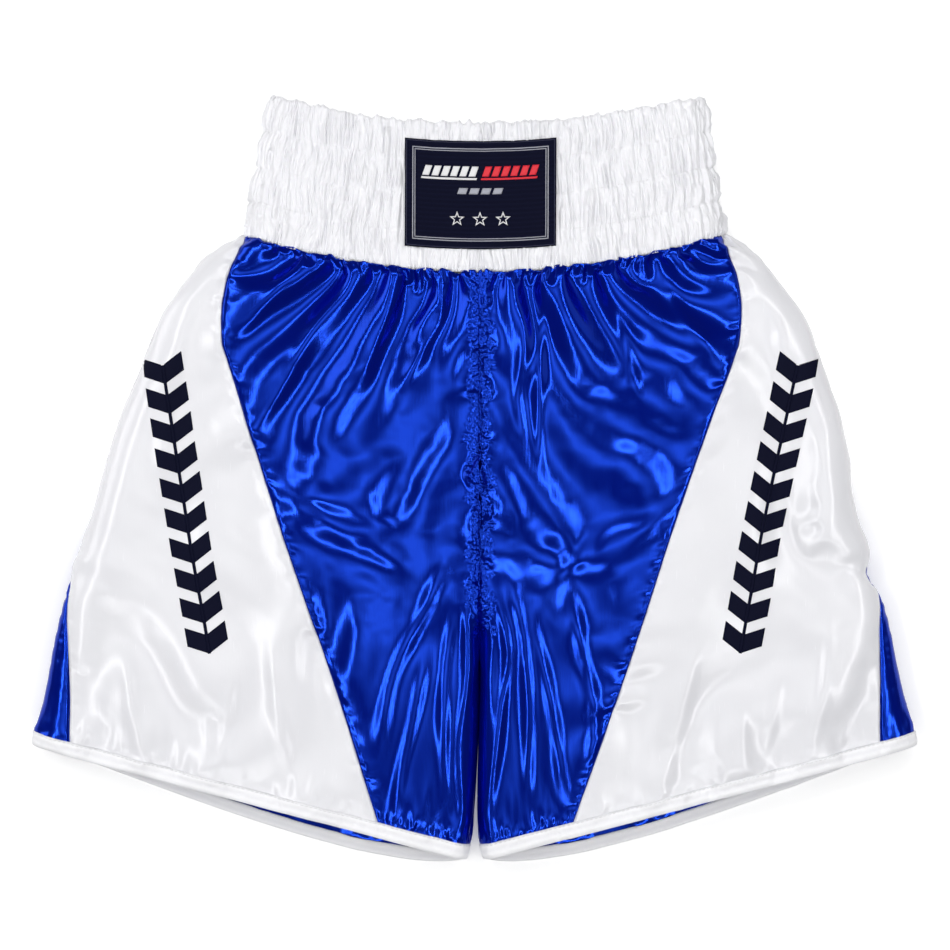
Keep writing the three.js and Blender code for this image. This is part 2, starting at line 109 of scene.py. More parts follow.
# ==== Legs ====
# Each leg is a satin tube laid flat: a blue front panel, a white side panel that wraps round the side fold,
# and a blue back panel. They are sewn edge to edge, gathered into the waistband at the top and taped at the hem.
FOLD_SEEDS = {"left": 7, "right": 23}
band_low, band_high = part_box("waist_casing")
hem_low, hem_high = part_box("hem_tape_left")
SEAM_Y = band_low[1] / MM  # the waist seam in the middle of the front
LAID_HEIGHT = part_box("front_panel_left")[1][2] / MM
WAIST_HALF, WAIST_SAG = 177.0, 27.0  # the waist seam: half its width, and how far its sides stand above its middle
FRONT_RISE = 282.0  # waist seam to crotch
LEG_LENGTH = SEAM_Y - hem_low[1] / MM
CROTCH_AT = FRONT_RISE / LEG_LENGTH
HEM_X = hem_high[0] / MM + 0.9
SIDE_FOLD = [(WAIST_HALF, WAIST_SAG), (204, 10), (231, -22), (262, -100), (293, -215), (HEM_X, -351)]
INNER_X = 0.02  # the two legs all but touch above the crotch
LEG_GAP_HALF, LEG_GAP_OPENING = 6.3, 6  # half the gap between the hems, and how late it opens
BACK_DROP, BACK_DROP_SKEW = 18.0, 0.6  # how far the back hem hangs below the front one, fullest near the inseam
DROP_FROM = 0.6  # the share of the leg where that drop starts
LIE = 1.1  # the back lies this far above the table
SIDE_REACH, INNER_REACH = 20.0, 12.0  # how far in from the edge each fold is rounded
CROTCH_EASE = 45.0
TAPE = 10.5
CLOTH = 0.45


def eased(a, b, x):
    """A smooth step from 0 at a to 1 at b."""
    s = np.clip((x - a) / (b - a), 0, 1)
    return s * s * (3 - 2 * s)


def bell(x, wide):
    return np.exp(-((x / wide) ** 2))


def at_places(where, along, line):
    """The values of a line, given at lengths "along" it, at other lengths."""
    return np.stack([np.interp(where, along, line[:, k]) for k in range(line.shape[1])], -1)


def lengths_along(line):
    return np.r_[0, np.cumsum(np.linalg.norm(np.diff(line, axis=0), axis=1))]


def through(points, count):
    """A smooth curve through the points, at even steps along its length."""
    p = np.array(points, float)
    p = np.vstack([2 * p[0] - p[1], p, 2 * p[-1] - p[-2]])
    out = []
    for k in range(1, len(p) - 2):
        s = np.linspace(0, 1, 80, endpoint=False)[:, None]
        a, b, c, d = p[k - 1 : k + 3]
        knot = [0.0]
        for m, n in ((a, b), (b, c), (c, d)):
            knot.append(knot[-1] + np.linalg.norm(n - m) ** 0.5)
        u = knot[1] + (knot[2] - knot[1]) * s
        lean = lambda m, n, i, j: (m * (knot[j] - u) + n * (u - knot[i])) / (knot[j] - knot[i])
        ab, bc, cd = lean(a, b, 0, 1), lean(b, c, 1, 2), lean(c, d, 2, 3)
        out.append(lean(lean(ab, bc, 0, 2), lean(bc, cd, 1, 3), 1, 2))
    out = np.vstack(out + [p[-2:-1]])
    along = lengths_along(out)
    return at_places(np.linspace(0, along[-1], count), along, out)


fold_line = through(SIDE_FOLD, 800)


def leg_row(t):
    """The laid leg at share t of its length: inner edge, side fold, and how far round each fold reaches."""
    t = np.asarray(t, float)
    below = np.maximum(0, t - CROTCH_AT) / (1 - CROTCH_AT)
    share = np.linspace(0, 1, len(fold_line))
    row = {
        "t": t,
        "inner_x": INNER_X + (LEG_GAP_HALF - INNER_X) * below**LEG_GAP_OPENING,
        "inner_y": -LEG_LENGTH * t,
        "outer_x": np.interp(t, share, fold_line[:, 0]),
        "outer_y": np.interp(t, share, fold_line[:, 1]),
        "inner_fold": eased(CROTCH_AT - CROTCH_EASE / LEG_LENGTH, CROTCH_AT, t),
    }
    row["width"] = np.hypot(row["outer_x"] - row["inner_x"], row["outer_y"] - row["inner_y"])
    half = LAID_HEIGHT / 2
    row["inner"] = np.pi / 2 * np.hypot(INNER_REACH, half) / 2**0.5
    row["side"] = np.pi / 2 * np.hypot(SIDE_REACH, half) / 2**0.5
    row["front"] = row["inner"] + row["width"] - INNER_REACH - SIDE_REACH + row["side"]
    return row


def on_leg(row, around):
    """Points of the laid cloth at the length "around": from the inner front edge, past the side, to the back."""
    front, inner, side = row["front"], row["inner"], row["side"]
    back = around > front
    along = np.maximum(0, np.where(back, 2 * front - around, around))
    inner_turn = np.clip(along / inner, 0, 1) * np.pi / 2
    side_turn = np.clip((front - along) / side, 0, 1) * np.pi / 2
    across = np.where(along < inner, INNER_REACH * (1 - np.cos(inner_turn)), INNER_REACH + along - inner)
    across = np.where(front - along < side, row["width"] - SIDE_REACH * (1 - np.cos(side_turn)), across)
    rise = LAID_HEIGHT / 2 * (1 - row["inner_fold"] * (1 - np.sin(inner_turn))) * np.sin(side_turn)
    share = across / row["width"]
    t = row["t"]
    x = row["inner_x"] + (row["outer_x"] - row["inner_x"]) * share
    y = row["inner_y"] + (row["outer_y"] - row["inner_y"]) * ((1 - t) * share**2 + t * share)
    drop = BACK_DROP * np.sin(np.pi * np.maximum(share, 0) ** BACK_DROP_SKEW) * eased(DROP_FROM, 1, t)
    y = y - np.where(back, drop, 0)
    lying = -rise * (1 - LIE / (LAID_HEIGHT / 2))
    return np.stack([x, y, LAID_HEIGHT / 2 + np.where(back, lying, rise)], -1)


SEAM_TOP_IN = 6.0
SEAM_HIP, SEAM_HEM = (191.0, -55.0), (70.0, -416.0)  # the front seam is straight between these
HIP_BOW, WAIST_LEAN = 3.5, 14.0  # above the hip it bows out, then leans in to the waist
BACK_SEAM_WAIST, BACK_SEAM_HEM = -72.0, 38.0  # how far in front of the side fold the back seam runs


def front_seam(row):
    """Where the blue front meets the white side: it follows the hip, then runs straight to the hem."""
    low = np.full_like(row["t"], float(row["inner"]))
    high = row["front"] - SEAM_TOP_IN
    for _ in range(30):
        middle = (low + high) / 2
        p = on_leg(row, middle)
        above = p[:, 1] - SEAM_HIP[1]
        line = SEAM_HIP[0] + (SEAM_HEM[0] - SEAM_HIP[0]) * above / (SEAM_HEM[1] - SEAM_HIP[1])
        bow = np.clip(above / (WAIST_SAG - SEAM_HIP[1]), 0, 1)
        bowed = SEAM_HIP[0] + HIP_BOW * np.sin(np.pi * bow) - WAIST_LEAN * bow**2
        line = np.where(p[:, 1] > SEAM_HIP[1], bowed, line)
        inside = p[:, 0] < line
        low, high = np.where(inside, middle, low), np.where(inside, high, middle)
    return low


def back_seam(row):
    return row["front"] - (BACK_SEAM_WAIST + (BACK_SEAM_HEM - BACK_SEAM_WAIST) * row["t"])


FRONT_COLUMNS, SIDE_COLUMNS, BACK_COLUMNS, LEG_ROWS = 140, 100, 112, 280
SEAMS_AT = (FRONT_COLUMNS, FRONT_COLUMNS + SIDE_COLUMNS)
COLUMNS_EVEN = 0.45  # the rest of the front's columns crowd towards the middle seam


def leg_grid(shrink):
    """The whole tube as one grid, with a column on each seam. Returns its points and its flat cut."""
    t = np.linspace(0, 1, LEG_ROWS // shrink + 1)
    row = leg_row(t)
    ends = [np.zeros_like(t), front_seam(row), back_seam(row), 2 * row["front"]]
    counts = [FRONT_COLUMNS // shrink, SIDE_COLUMNS // shrink, BACK_COLUMNS // shrink]
    around = []
    for k in range(3):
        share = np.linspace(0, 1, counts[k] + 1)[None, (k > 0) :]
        if k == 0:
            share = COLUMNS_EVEN * share + (1 - COLUMNS_EVEN) * share**2
        around.append(ends[k][:, None] * (1 - share) + ends[k + 1][:, None] * share)
    around = np.hstack(around)
    wide = {k: (v[:, None] if np.ndim(v) else v) for k, v in row.items()}
    points = on_leg(wide, around)
    flat = np.stack([around - wide["inner"], points[..., 1]], -1)
    return points, flat, around, wide


LATTICE = 512
lattices = {}


def value_noise(x, y, seed):
    """Smooth random heights, about one bump for each unit of x and y."""
    if seed not in lattices:
        lattices[seed] = np.random.default_rng(seed).normal(size=(LATTICE, LATTICE))
    lattice = lattices[seed]
    x0, y0 = np.floor(x).astype(int), np.floor(y).astype(int)
    u, v = x - x0, y - y0
    u, v = u * u * (3 - 2 * u), v * v * (3 - 2 * v)
    i, j, right, below = x0 % LATTICE, y0 % LATTICE, (x0 + 1) % LATTICE, (y0 + 1) % LATTICE
    low = lattice[j, i] * (1 - u) + lattice[j, right] * u
    high = lattice[below, i] * (1 - u) + lattice[below, right] * u
    return low * (1 - v) + high * v


def normals_of(p):
    """The outward direction at every point of a grid."""
    down = np.gradient(p, axis=0)
    over = np.gradient(p, axis=1)
    n = np.cross(down, over)
    return n / np.maximum(np.linalg.norm(n, axis=-1, keepdims=True), 1e-9)


GATHER_SPREAD = 0.0070  # how fast the gathers fan out below the waist
# Folds over the hips and the front: the line each follows, half its width and its height.
BIG_FOLDS = {
    "left": [
        ([(12, -118), (34, -150), (62, -196), (84, -230)], 8, 3.4),
        ([(150, -172), (112, -196), (66, -222), (40, -244)], 7, 2.8),
        ([(60, -14), (70, -56), (96, -104)], 8, 3.0),
        ([(112, -8), (134, -58), (160, -112)], 7, 2.6),
        ([(100, -120), (122, -150), (134, -176)], 10, 2.6),
    ],
    "right": [
        ([(10, -104), (44, -128), (62, -164), (78, -196)], 8, 3.6),
        ([(142, -170), (110, -186), (74, -204), (46, -226)], 6, 3.0),
        ([(58, -12), (78, -60), (100, -82)], 8, 3.2),
        ([(100, -6), (126, -48), (170, -100)], 6, 2.6),
        ([(112, -88), (124, -112), (116, -140)], 11, 2.8),
    ],
}
# Long folds in the hanging part of the legs and beside the side seams, shaped after the cloth has settled.
LONG_FOLDS = {
    "left": [
        ([(8, -226), (21, -276), (17, -322), (9, -406)], 4.4, 2.1),
        ([(20, -214), (33, -272), (37, -332), (39, -412)], 5.0, 2.0),
        ([(36, -246), (50, -304), (60, -354), (68, -406)], 5.2, 1.9),
        ([(68, -226), (75, -276), (86, -326), (82, -384)], 5.6, 1.9),
        ([(46, 4), (47, -50), (44, -104), (46, -152)], 4.2, 1.9),
        ([(30, -10), (34, -48), (29, -92), (36, -132)], 4.2, 1.5),
        ([(92, -14), (108, -52), (118, -98)], 5.0, 1.6),
        ([(132, 0), (152, -34), (176, -66)], 5.0, 1.5),
        ([(164, -276), (152, -330), (140, -384)], 5.2, 1.5),
        ([(196, -322), (201, -374)], 4.4, 1.3),
        ([(226, -296), (214, -362)], 4.6, 1.3),
        ([(262, -250), (258, -310), (248, -356)], 5.0, 1.4),
        ([(214, -20), (226, -84), (224, -150)], 7.0, 1.6),
    ],
    "right": [
        ([(14, -226), (9, -290), (15, -350), (10, -408)], 4.4, 2.1),
        ([(18, -236), (27, -304), (25, -356), (21, -410)], 4.8, 1.9),
        ([(20, -200), (42, -252), (64, -298), (74, -362)], 6.0, 2.3),
        ([(40, -276), (48, -328), (56, -370), (60, -412)], 5.4, 1.9),
        ([(35, -4), (28, -30), (40, -54), (60, -90)], 4.4, 1.8),
        ([(100, -14), (124, -42), (142, -80), (168, -122)], 5.0, 1.8),
        ([(66, -10), (74, -46), (88, -84)], 4.6, 1.5),
        ([(140, 4), (160, -24), (182, -50)], 5.0, 1.5),
        ([(258, -285), (253, -329), (246, -366)], 4.6, 1.5),
        ([(152, -270), (146, -335), (133, -386)], 5.0, 1.5),
        ([(199, -326), (195, -378)], 4.2, 1.3),
        ([(178, -296), (189, -372)], 4.4, 1.3),
        ([(212, -24), (228, -80), (232, -160)], 7.0, 1.6),
    ],
}


RIDGE_POINTS, RIDGE_STARTS, RIDGE_ENDS = 14, (-0.05, 0.3), (0.75, 1.05)


def ridge(x, y, line, wide, high):
    """One soft fold along a line, running out at both ends."""
    run = through(line, RIDGE_POINTS)
    away = np.full(x.shape, 1e9)
    share = np.zeros(x.shape)
    for k in range(len(run) - 1):
        (ax, ay), (dx, dy) = run[k], run[k + 1] - run[k]
        f = np.clip(((x - ax) * dx + (y - ay) * dy) / (dx * dx + dy * dy), 0, 1)
        d = (x - ax - f * dx) ** 2 + (y - ay - f * dy) ** 2
        share = np.where(d < away, (k + f) / (len(run) - 1), share)
        away = np.minimum(away, d)
    return high * np.exp(-away / wide**2) * eased(*RIDGE_STARTS, share) * (1 - eased(*RIDGE_ENDS, share))


# Each row is a height, a spacing across the folds, a length along them and how far from the seam they reach.
GATHERS = [(3.2, 14, 130, 115), (1.6, 7, 50, 55)]
SLANTING = [(2.9, 34, 110), (0.5, 15, 80)]
SLANT, SLANT_VARIES, SLANT_PATCH = 0.52, 0.18, 90
HANGING, HANGING_SPACING, HANGING_FROM, HANGING_SPREAD = 1.6, 0.15, 40, 0.75
LIFTED, LIFTED_SPACING, LIFTED_LENGTH, LIFTED_REACH, LIFTED_ALL = 0.8, 11, 40, 34, 0.4
BACK_APART = 900.0  # keeps the folds of the back unlike those of the front


def laid_folds(side, points, around, row, seed):
    """The folds that the shorts were laid down with: gathers that fan out from the waist, slanting folds
    across the front, folds that hang from the crotch, and waves at the hem."""
    x, y = points[..., 0], points[..., 1]
    on_back = around > row["front"]
    from_waist = LEG_LENGTH * row["t"] * np.ones_like(x)
    out = np.minimum(around, 2 * row["front"] - around)
    turned = np.where(on_back, BACK_APART, 0.0)
    fan = out / (1 + GATHER_SPREAD * from_waist) + turned
    h = 0
    for k, (high, apart, long, reach) in enumerate(GATHERS):
        h = h + high * value_noise(fan / apart, from_waist / long, seed + k) * bell(from_waist, reach)
    slant = SLANT + SLANT_VARIES * value_noise(x / SLANT_PATCH, y / SLANT_PATCH, seed + 2)
    over = out * np.cos(slant) + from_waist * -np.sin(slant)
    down = out * np.sin(slant) + from_waist * np.cos(slant)
    slanting = 0
    for k, (high, apart, long) in enumerate(SLANTING):
        slanting = slanting + high * value_noise(over / apart + turned, down / long, seed + 3 + k)
    slanting *= eased(30, 110, from_waist)
    below = np.hypot(x, y + FRONT_RISE - HANGING_FROM)
    angle = np.arctan2(x, -(y + FRONT_RISE - HANGING_FROM))
    hanging = HANGING * value_noise(angle / HANGING_SPACING + turned, np.log(below + 20) / 5, seed + 5)
    hanging *= bell(angle, HANGING_SPREAD) * eased(12, 60, below) * (1 - 0.4 * eased(140, 240, below))
    share = bell(angle, HANGING_SPREAD + 0.1) * eased(10, 60, below)
    from_hem = LEG_LENGTH - from_waist
    lifted = LIFTED * value_noise(out / LIFTED_SPACING + turned, from_hem / LIFTED_LENGTH, seed + 6)
    h = h + slanting * (1 - share) + hanging + (lifted + LIFTED_ALL) * bell(from_hem, LIFTED_REACH)
    for line, wide, high in BIG_FOLDS[side]:
        h = h + np.where(on_back, 0, ridge(x, y, line, wide, high))
    return h


# How much longer the cut cloth is than the space it lies in: at the waist, along the middle seam, along the
# side seams, at the hem, round the crotch, and everywhere in two crossing directions.
FULL_WAIST = [(0.20, 14), (0.10, 50)]
FULL_MIDDLE = [(0.022, 8), (0.008, 22)]
FULL_SEAM, FULL_SEAM_WIDE = 0.04, 5
FULL_HEM, FULL_HEM_REACH = 0.05, 12
FULL_CROTCH, FULL_CROTCH_REACH, FULL_CROTCH_SPREAD = 0.012, 140, 0.7
FULL_ALL, FULL_CROSSING, CROSSING = 0.010, 0.003, 1.2


def below_crotch(x, y):
    """1 in the hanging part of the leg beside the inseam, 0 above the crotch and towards the side."""
    return eased(-20, 30, -(y + FRONT_RISE)) * np.exp(-((x / 130) ** 4))


def fullness(points, around, row):
    """The extra length of the cut cloth, as strains along set directions."""
    x, y = points[..., 0], points[..., 1]
    from_waist = LEG_LENGTH * row["t"] * np.ones_like(x)
    from_hem = LEG_LENGTH - from_waist
    from_crotch = np.hypot(x, y + FRONT_RISE)
    radial = np.stack([-(y + FRONT_RISE), x], -1) / np.maximum(from_crotch, 1)[..., None]
    seam_gap = np.min([np.abs(around - s) for s in row["seams"]], axis=0)
    ones = np.ones_like(x)
    across = np.stack([ones, 0 * ones], -1)
    along = np.stack([0 * ones, ones], -1)
    steep = bell(np.arctan2(x, -(y + FRONT_RISE - 30)), FULL_CROTCH_SPREAD)
    above_crotch = 1 - eased(0.95, 1.05, row["t"] / CROTCH_AT)
    fan = np.arctan(x * GATHER_SPREAD / (1 + GATHER_SPREAD * from_waist))
    wander = 0.6 + value_noise(x / 90, y / 90, 91) * 0.6
    fanned, lean, cross = (np.stack([np.cos(a), np.sin(a)], -1) for a in (fan, wander, wander + CROSSING))
    patches = np.clip(0.8 + 0.5 * value_noise(x / 55, y / 55, 92), 0.2, 1.6)
    calm = 1 - 0.9 * below_crotch(x, y)
    return [
        (fanned, sum(full * np.exp(-from_waist / reach) for full, reach in FULL_WAIST)),
        (along, sum(full * (bell(x, wide) * above_crotch) for full, wide in FULL_MIDDLE)),
        (along, FULL_SEAM * bell(seam_gap, FULL_SEAM_WIDE)),
        (across, FULL_HEM * np.exp(-from_hem / FULL_HEM_REACH)),
        (radial, FULL_CROTCH * np.exp(-from_crotch / FULL_CROTCH_REACH) * steep),
        (lean, FULL_ALL * patches * calm),
        (cross, FULL_CROSSING * patches * calm),
    ]


def curved(h):
    """How sharply a field bends at every point of its grid."""
    spread = np.zeros_like(h)
    spread[1:-1] += h[:-2] + h[2:] - 2 * h[1:-1]
    spread[:, 1:-1] += h[:, :-2] + h[:, 2:] - 2 * h[:, 1:-1]
    return spread


DIAGONAL = 0.45  # how stiff the satin is on the bias, beside 1 along its threads
BEND, HOLD = 0.008, 0.0002  # how hard it resists a crease, and how gently it is drawn back to where it was laid


def settle(p, base, cut, strains, flat, room, pinned, steps):
    """Lets the cloth buckle until every thread has its cut length, within the room there is above and below."""
    normal = normals_of(base)
    p, base, normal = (a.astype(np.float32) for a in (p, base, normal))
    links = []
    for dj, di, stiff in ((0, 1, 1.0), (1, 0, 1.0), (1, 1, DIAGONAL), (1, -1, DIAGONAL)):
        rows, cols = base.shape[:2]
        for parity in (0, 1):
            if dj == 0:
                a = (slice(None), slice(parity, cols - 1, 2))
                b = (slice(None), slice(parity + 1, cols, 2))
            else:
                a = (slice(parity, rows - 1, 2), slice(max(0, -di), cols - max(0, di)))
                b = (slice(parity + 1, rows, 2), slice(max(0, di), cols + min(0, di)))
            gap = np.linalg.norm(cut[b] - cut[a], axis=-1)
            way = flat[b] - flat[a]
            way = way / np.maximum(np.linalg.norm(way, axis=-1, keepdims=True), 1e-6)
            stretch = np.ones_like(gap)
            for direction, amount in strains:
                stretch += 2 * amount[a] * (direction[a] * way).sum(-1) ** 2
            links.append((a, b, (gap * np.sqrt(stretch)).astype(np.float32), 0.5 * stiff))
    low, high = (r.astype(np.float32) for r in room)
    start = p.copy()
    for _ in range(steps):
        for a, b, rest, stiff in links:
            d = p[b] - p[a]
            length = np.sqrt((d * d).sum(-1)) + 1e-6
            d *= (stiff * (1 - rest / length))[..., None]
            p[a] += d
            p[b] -= d
        h = ((p - base) * normal).sum(-1)
        target = np.clip(h - BEND * curved(curved(h)) - HOLD * h, low, high)
        p += normal * (target - h)[..., None]
        p += pinned[..., None] * (start - p)
    return p.astype(float)


def doubled(a):
    """The same field on a grid twice as fine."""
    out = np.zeros((a.shape[0] * 2 - 1, a.shape[1] * 2 - 1) + a.shape[2:])
    out[::2, ::2] = a
    out[1::2, ::2] = (a[:-1] + a[1:]) / 2
    out[:, 1::2] = (out[:, :-2:2] + out[:, 2::2]) / 2
    return out


def smoothed(h, times):
    """The same field, averaged with its neighbours a number of times."""
    for _ in range(times):
        g = h.copy()
        g[1:-1] = (h[:-2] + 2 * h[1:-1] + h[2:]) / 4
        h = g.copy()
        h[:, 1:-1] = (g[:, :-2] + 2 * g[:, 1:-1] + g[:, 2:]) / 4
    return h


SLACK, SLACK_DOWN, FLOOR_ROOM = 7.0, 0.8, 0.3  # how far cloth may move from where it was laid
FINE, FINE_SPACING = 0.35, 6
CALMED, CALM_PASSES = 0.75, 60  # how far the hanging part is smoothed before its long folds are shaped
TUCK, TUCK_WIDE, NEEDLE_LINE = 0.28, 6.5, 0.9  # the small tucks beside each side seam
GROOVE, TOPSTITCH, TOPSTITCH_OFF = 0.7, 0.25, 3.0
RUFFLE, RUFFLE_REACH = 1.7, 8
PUCKER, PUCKER_REACH, FLAME, FLAME_REACH = 0.4, 9, 0.6, 24  # creases above the hem tape, short and long


def sewn_details(p, base, normal, around, row, seed):
    """What the sewing does to the settled cloth: grooved seams, gathers at the waist and puckers at the hem."""
    y = base[..., 1]
    for at in SEAMS_AT:
        gap = around - around[:, at : at + 1]
        tuck = value_noise(y / 3.0, gap / 9, seed + 8 + at) * bell(gap, TUCK_WIDE) * (1 - bell(gap, 1.0))
        seam = TUCK * tuck - GROOVE * bell(gap, NEEDLE_LINE) - TOPSTITCH * bell(np.abs(gap) - TOPSTITCH_OFF, 0.7)
        p = p + normal * seam[..., None]
    down = LEG_LENGTH * row["t"] * np.ones_like(y)
    out = np.minimum(around, 2 * row["front"] - around) + np.where(around > row["front"], BACK_APART, 0.0)
    ruffle = np.abs(value_noise(out / 3.6, down / 30, seed + 12)) ** 0.6
    ruffle = ruffle + 0.5 * value_noise(out / 9, down / 30, seed + 13)
    p = p + normal * (RUFFLE * ruffle * bell(down, RUFFLE_REACH))[..., None]
    off_hem = LEG_LENGTH - down - TAPE
    pucker = PUCKER * value_noise(out / 2.8, down / 6, seed + 15) * bell(off_hem, PUCKER_REACH)
    flame = FLAME * value_noise(out / 6, down / 22, seed + 16) * bell(off_hem, FLAME_REACH)
    p = p + normal * ((pucker + flame) * eased(-2, 3, off_hem))[..., None]
    p[..., 1] += 1.0 * value_noise(out / 4.2, 0 * out, seed + 14) * np.exp(-down / 3) + SEAM_Y
    return p


def made_leg(side, seed, steps):
    """One leg's cloth, settled on a coarse grid first and then on two finer ones."""
    offset = None
    for shrink in (4, 2, 1):
        base, flat, around, row = leg_grid(shrink)
        bare = {k: (v[:, 0] if np.ndim(v) == 2 else v) for k, v in row.items()}
        row["seams"] = [front_seam(bare)[:, None], back_seam(bare)[:, None]]
        x, y = base[..., 0], base[..., 1]
        from_waist = LEG_LENGTH * row["t"] * np.ones_like(x)
        from_hem = LEG_LENGTH - from_waist
        normal = normals_of(base)
        facing = normal[..., 2]
        near_fold = np.clip(np.minimum(around, 2 * row["front"] - around) / 30, 0, 1)
        slack = SLACK * (0.25 + 0.75 * near_fold) * np.clip(from_hem / 25, 0.25, 1)
        slack *= np.clip(0.25 + from_waist / 20, 0, 1)
        up = np.where(facing > -0.3, slack, FLOOR_ROOM)
        down = np.where(facing > -0.3, slack * SLACK_DOWN, slack)
        folds = np.clip(laid_folds(side, base, around, row, seed + 20), -down, up)
        folds[:, 0] = folds[:, -1] = 0
        fine = FINE * value_noise(flat[..., 0] / FINE_SPACING, y / FINE_SPACING, seed + 4)
        fine = fine * (1 - 0.85 * below_crotch(x, y))
        fine[:, 0] = fine[:, -1] = 0
        h = {4: folds, 2: 0.5 * fine, 1: 0.4 * fine}[shrink]
        p = base + normal * np.clip(h, -down, up)[..., None]
        if offset is not None:
            p = base + doubled(offset) + normal * (h * 0.6)[..., None]
        pinned = np.zeros_like(x)
        pinned[0] = pinned[-1] = 1
        pinned[:, 0] = pinned[:, -1] = 1
        for at in SEAMS_AT:
            pinned[:, at // shrink] = 0.5
        if shrink == 1:
            pinned[-5:] = 0.3
            pinned[-1] = 0.8
        p[0] = base[0]
        cut = base + normal * folds[..., None]
        strains = fullness(base, around, row)
        p = settle(p, base, cut, strains, flat, (-down, up), pinned, steps[shrink])
        offset = p - base
    h = (offset * normal).sum(-1)
    calm = smoothed(h, 1)
    hangs = eased(FRONT_RISE - 50, FRONT_RISE + 10, -y) * np.exp(-((x / 120) ** 4)) * (facing > 0)
    calm = calm + CALMED * hangs * (smoothed(calm, CALM_PASSES) - calm)
    for line, wide, high in LONG_FOLDS[side]:
        calm = calm + (facing > 0) * ridge(x, y, line, wide, high)
    p = sewn_details(p + normal * (calm - h)[..., None], base, normal, around, row, seed)
    laid = base + [0, SEAM_Y, 0]
    return {"points": p, "laid": laid, "out": normal, "flat": flat, "normal": normals_of(p), "around": around}


def finer_rows(a):
    """The same grid with a row added between every two."""
    out = np.zeros((a.shape[0] * 2 - 1,) + a.shape[1:])
    out[::2] = a
    out[1::2] = (a[:-1] + a[1:]) / 2
    return out


CRINKLE, CRINKLE_COLUMN, CRINKLE_ROW, CRINKLE_HALF = 0.40, 3.1, 1.35, 9.0
MIDDLE_GROOVE, MIDDLE_LAP = 0.45, 0.1


def crinkled_middle(p, seed):
    """The seam down the middle is sewn on a stretched thread, which crinkles a narrow band on both sides of it."""
    x, y = p[..., 0], p[..., 1] - SEAM_Y
    here = eased(-FRONT_RISE + 6, -FRONT_RISE + 20, y)
    column = x / CRINKLE_COLUMN
    beads = 0.5 + 1.2 * value_noise(np.floor(column) * 5.3, y / CRINKLE_ROW, seed)
    crinkle = np.abs(np.sin(np.pi * column)) ** 0.7 * beads
    crinkle += 0.6 * value_noise(x / 1.5, y / 1.7, seed + 1)
    crinkle *= 1 - bell(x, NEEDLE_LINE)
    edge = CRINKLE_HALF + 2.0 * value_noise(y / 7, 0 * y, seed + 2)
    band = 1 - eased(edge - 3, edge + 2, x)
    return here * (CRINKLE * crinkle * band - MIDDLE_GROOVE * bell(x, NEEDLE_LINE))


# How many steps each grid settles for, from the coarse one to the fine one.
STEPS = {4: 260, 2: 220, 1: 160}
legs = {side: made_leg(side, FOLD_SEEDS[side], STEPS) for side in ("left", "right")}
for side in legs:
    legs[side]["mirror"] = 1 if side == "left" else -1


def new_piece(name, vertices, faces, cut=None, thickness=0, side=-1):
    """A smooth-shaded piece, with its cut as UVs and its thickness grown towards one side of its face."""
    mesh = bpy.data.meshes.new(name)
    mesh.from_pydata(vertices.tolist(), [], faces)
    if cut is not None:
        mesh.uv_layers.new(name="cut").data.foreach_set("uv", cut.ravel())
    mesh.polygons.foreach_set("use_smooth", [True] * len(mesh.polygons))
    mesh.update()
    piece = bpy.data.objects.new(name, mesh)
    bpy.context.scene.collection.objects.link(piece)
    if thickness:
        thick = piece.modifiers.new("thickness", "SOLIDIFY")
        thick.thickness = thickness * MM
        thick.offset = side
    return piece


def quads_of(index, mirror):
    a, b, c, d = index[:-1, :-1], index[:-1, 1:], index[1:, 1:], index[1:, :-1]
    return np.stack([a, d, c, b] if mirror > 0 else [a, b, c, d], -1).reshape(-1, 4)


def cloth_grid(points, uv, mirror=1, closed=False):
    """The vertices, faces and UV corners of a grid of points in millimetres, closed into a ring if asked."""
    rows, cols = points.shape[:2]
    vertices = points.reshape(-1, 3) * MM
    vertices[:, 0] *= mirror
    index = np.arange(rows * cols).reshape(rows, cols)
    if closed:
        once_round = uv[0, -1, 0] - uv[0, 0, 0] + uv[0, 1, 0] - uv[0, 0, 0]
        uv = np.concatenate([uv, uv[:, :1] + [[once_round, 0]]], 1)
        index = np.hstack([index, index[:, :1]])
    corners = quads_of(np.arange(uv.shape[0] * uv.shape[1]).reshape(uv.shape[:2]), mirror)
    return vertices, quads_of(index, mirror), (uv.reshape(-1, 2) * MM)[corners.ravel()]


def cloth_mesh(name, points, uv, mirror=1, thickness=CLOTH, closed=False):
    """A sheet of cloth from a grid of points, given its thickness inwards."""
    vertices, faces, cut = cloth_grid(points, uv, mirror, closed)
    return new_piece(name, vertices, faces.tolist(), cut, thickness)


def placed(piece, material, node):
    """Gives a piece its material and puts it in place of its CAD node."""
    piece.data.materials.append(material)
    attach(piece, "root")
    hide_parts(node)
    return piece


def node_material(name):
    material = bpy.data.materials.new(name)
    material.use_nodes = True
    nodes, links = material.node_tree.nodes, material.node_tree.links
    return material, nodes, links, nodes["Principled BSDF"]


def add_node(nodes, kind, **inputs):
    """A shader node with its plain inputs set."""
    node = nodes.new("ShaderNode" + kind)
    for socket, value in inputs.items():
        node.inputs[socket.replace("_", " ")].default_value = value
    return node


def noise(nodes, links, place, **inputs):
    texture = add_node(nodes, "TexNoise", **inputs)
    links.new(place, texture.inputs["Vector"])
    return texture.outputs["Fac"]


def on_the_cut(nodes):
    """Places on the flat cut of the cloth, in metres, so that a weave follows its threads."""
    cut = nodes.new("ShaderNodeUVMap")
    cut.uv_map = "cut"
    return cut.outputs["UV"]


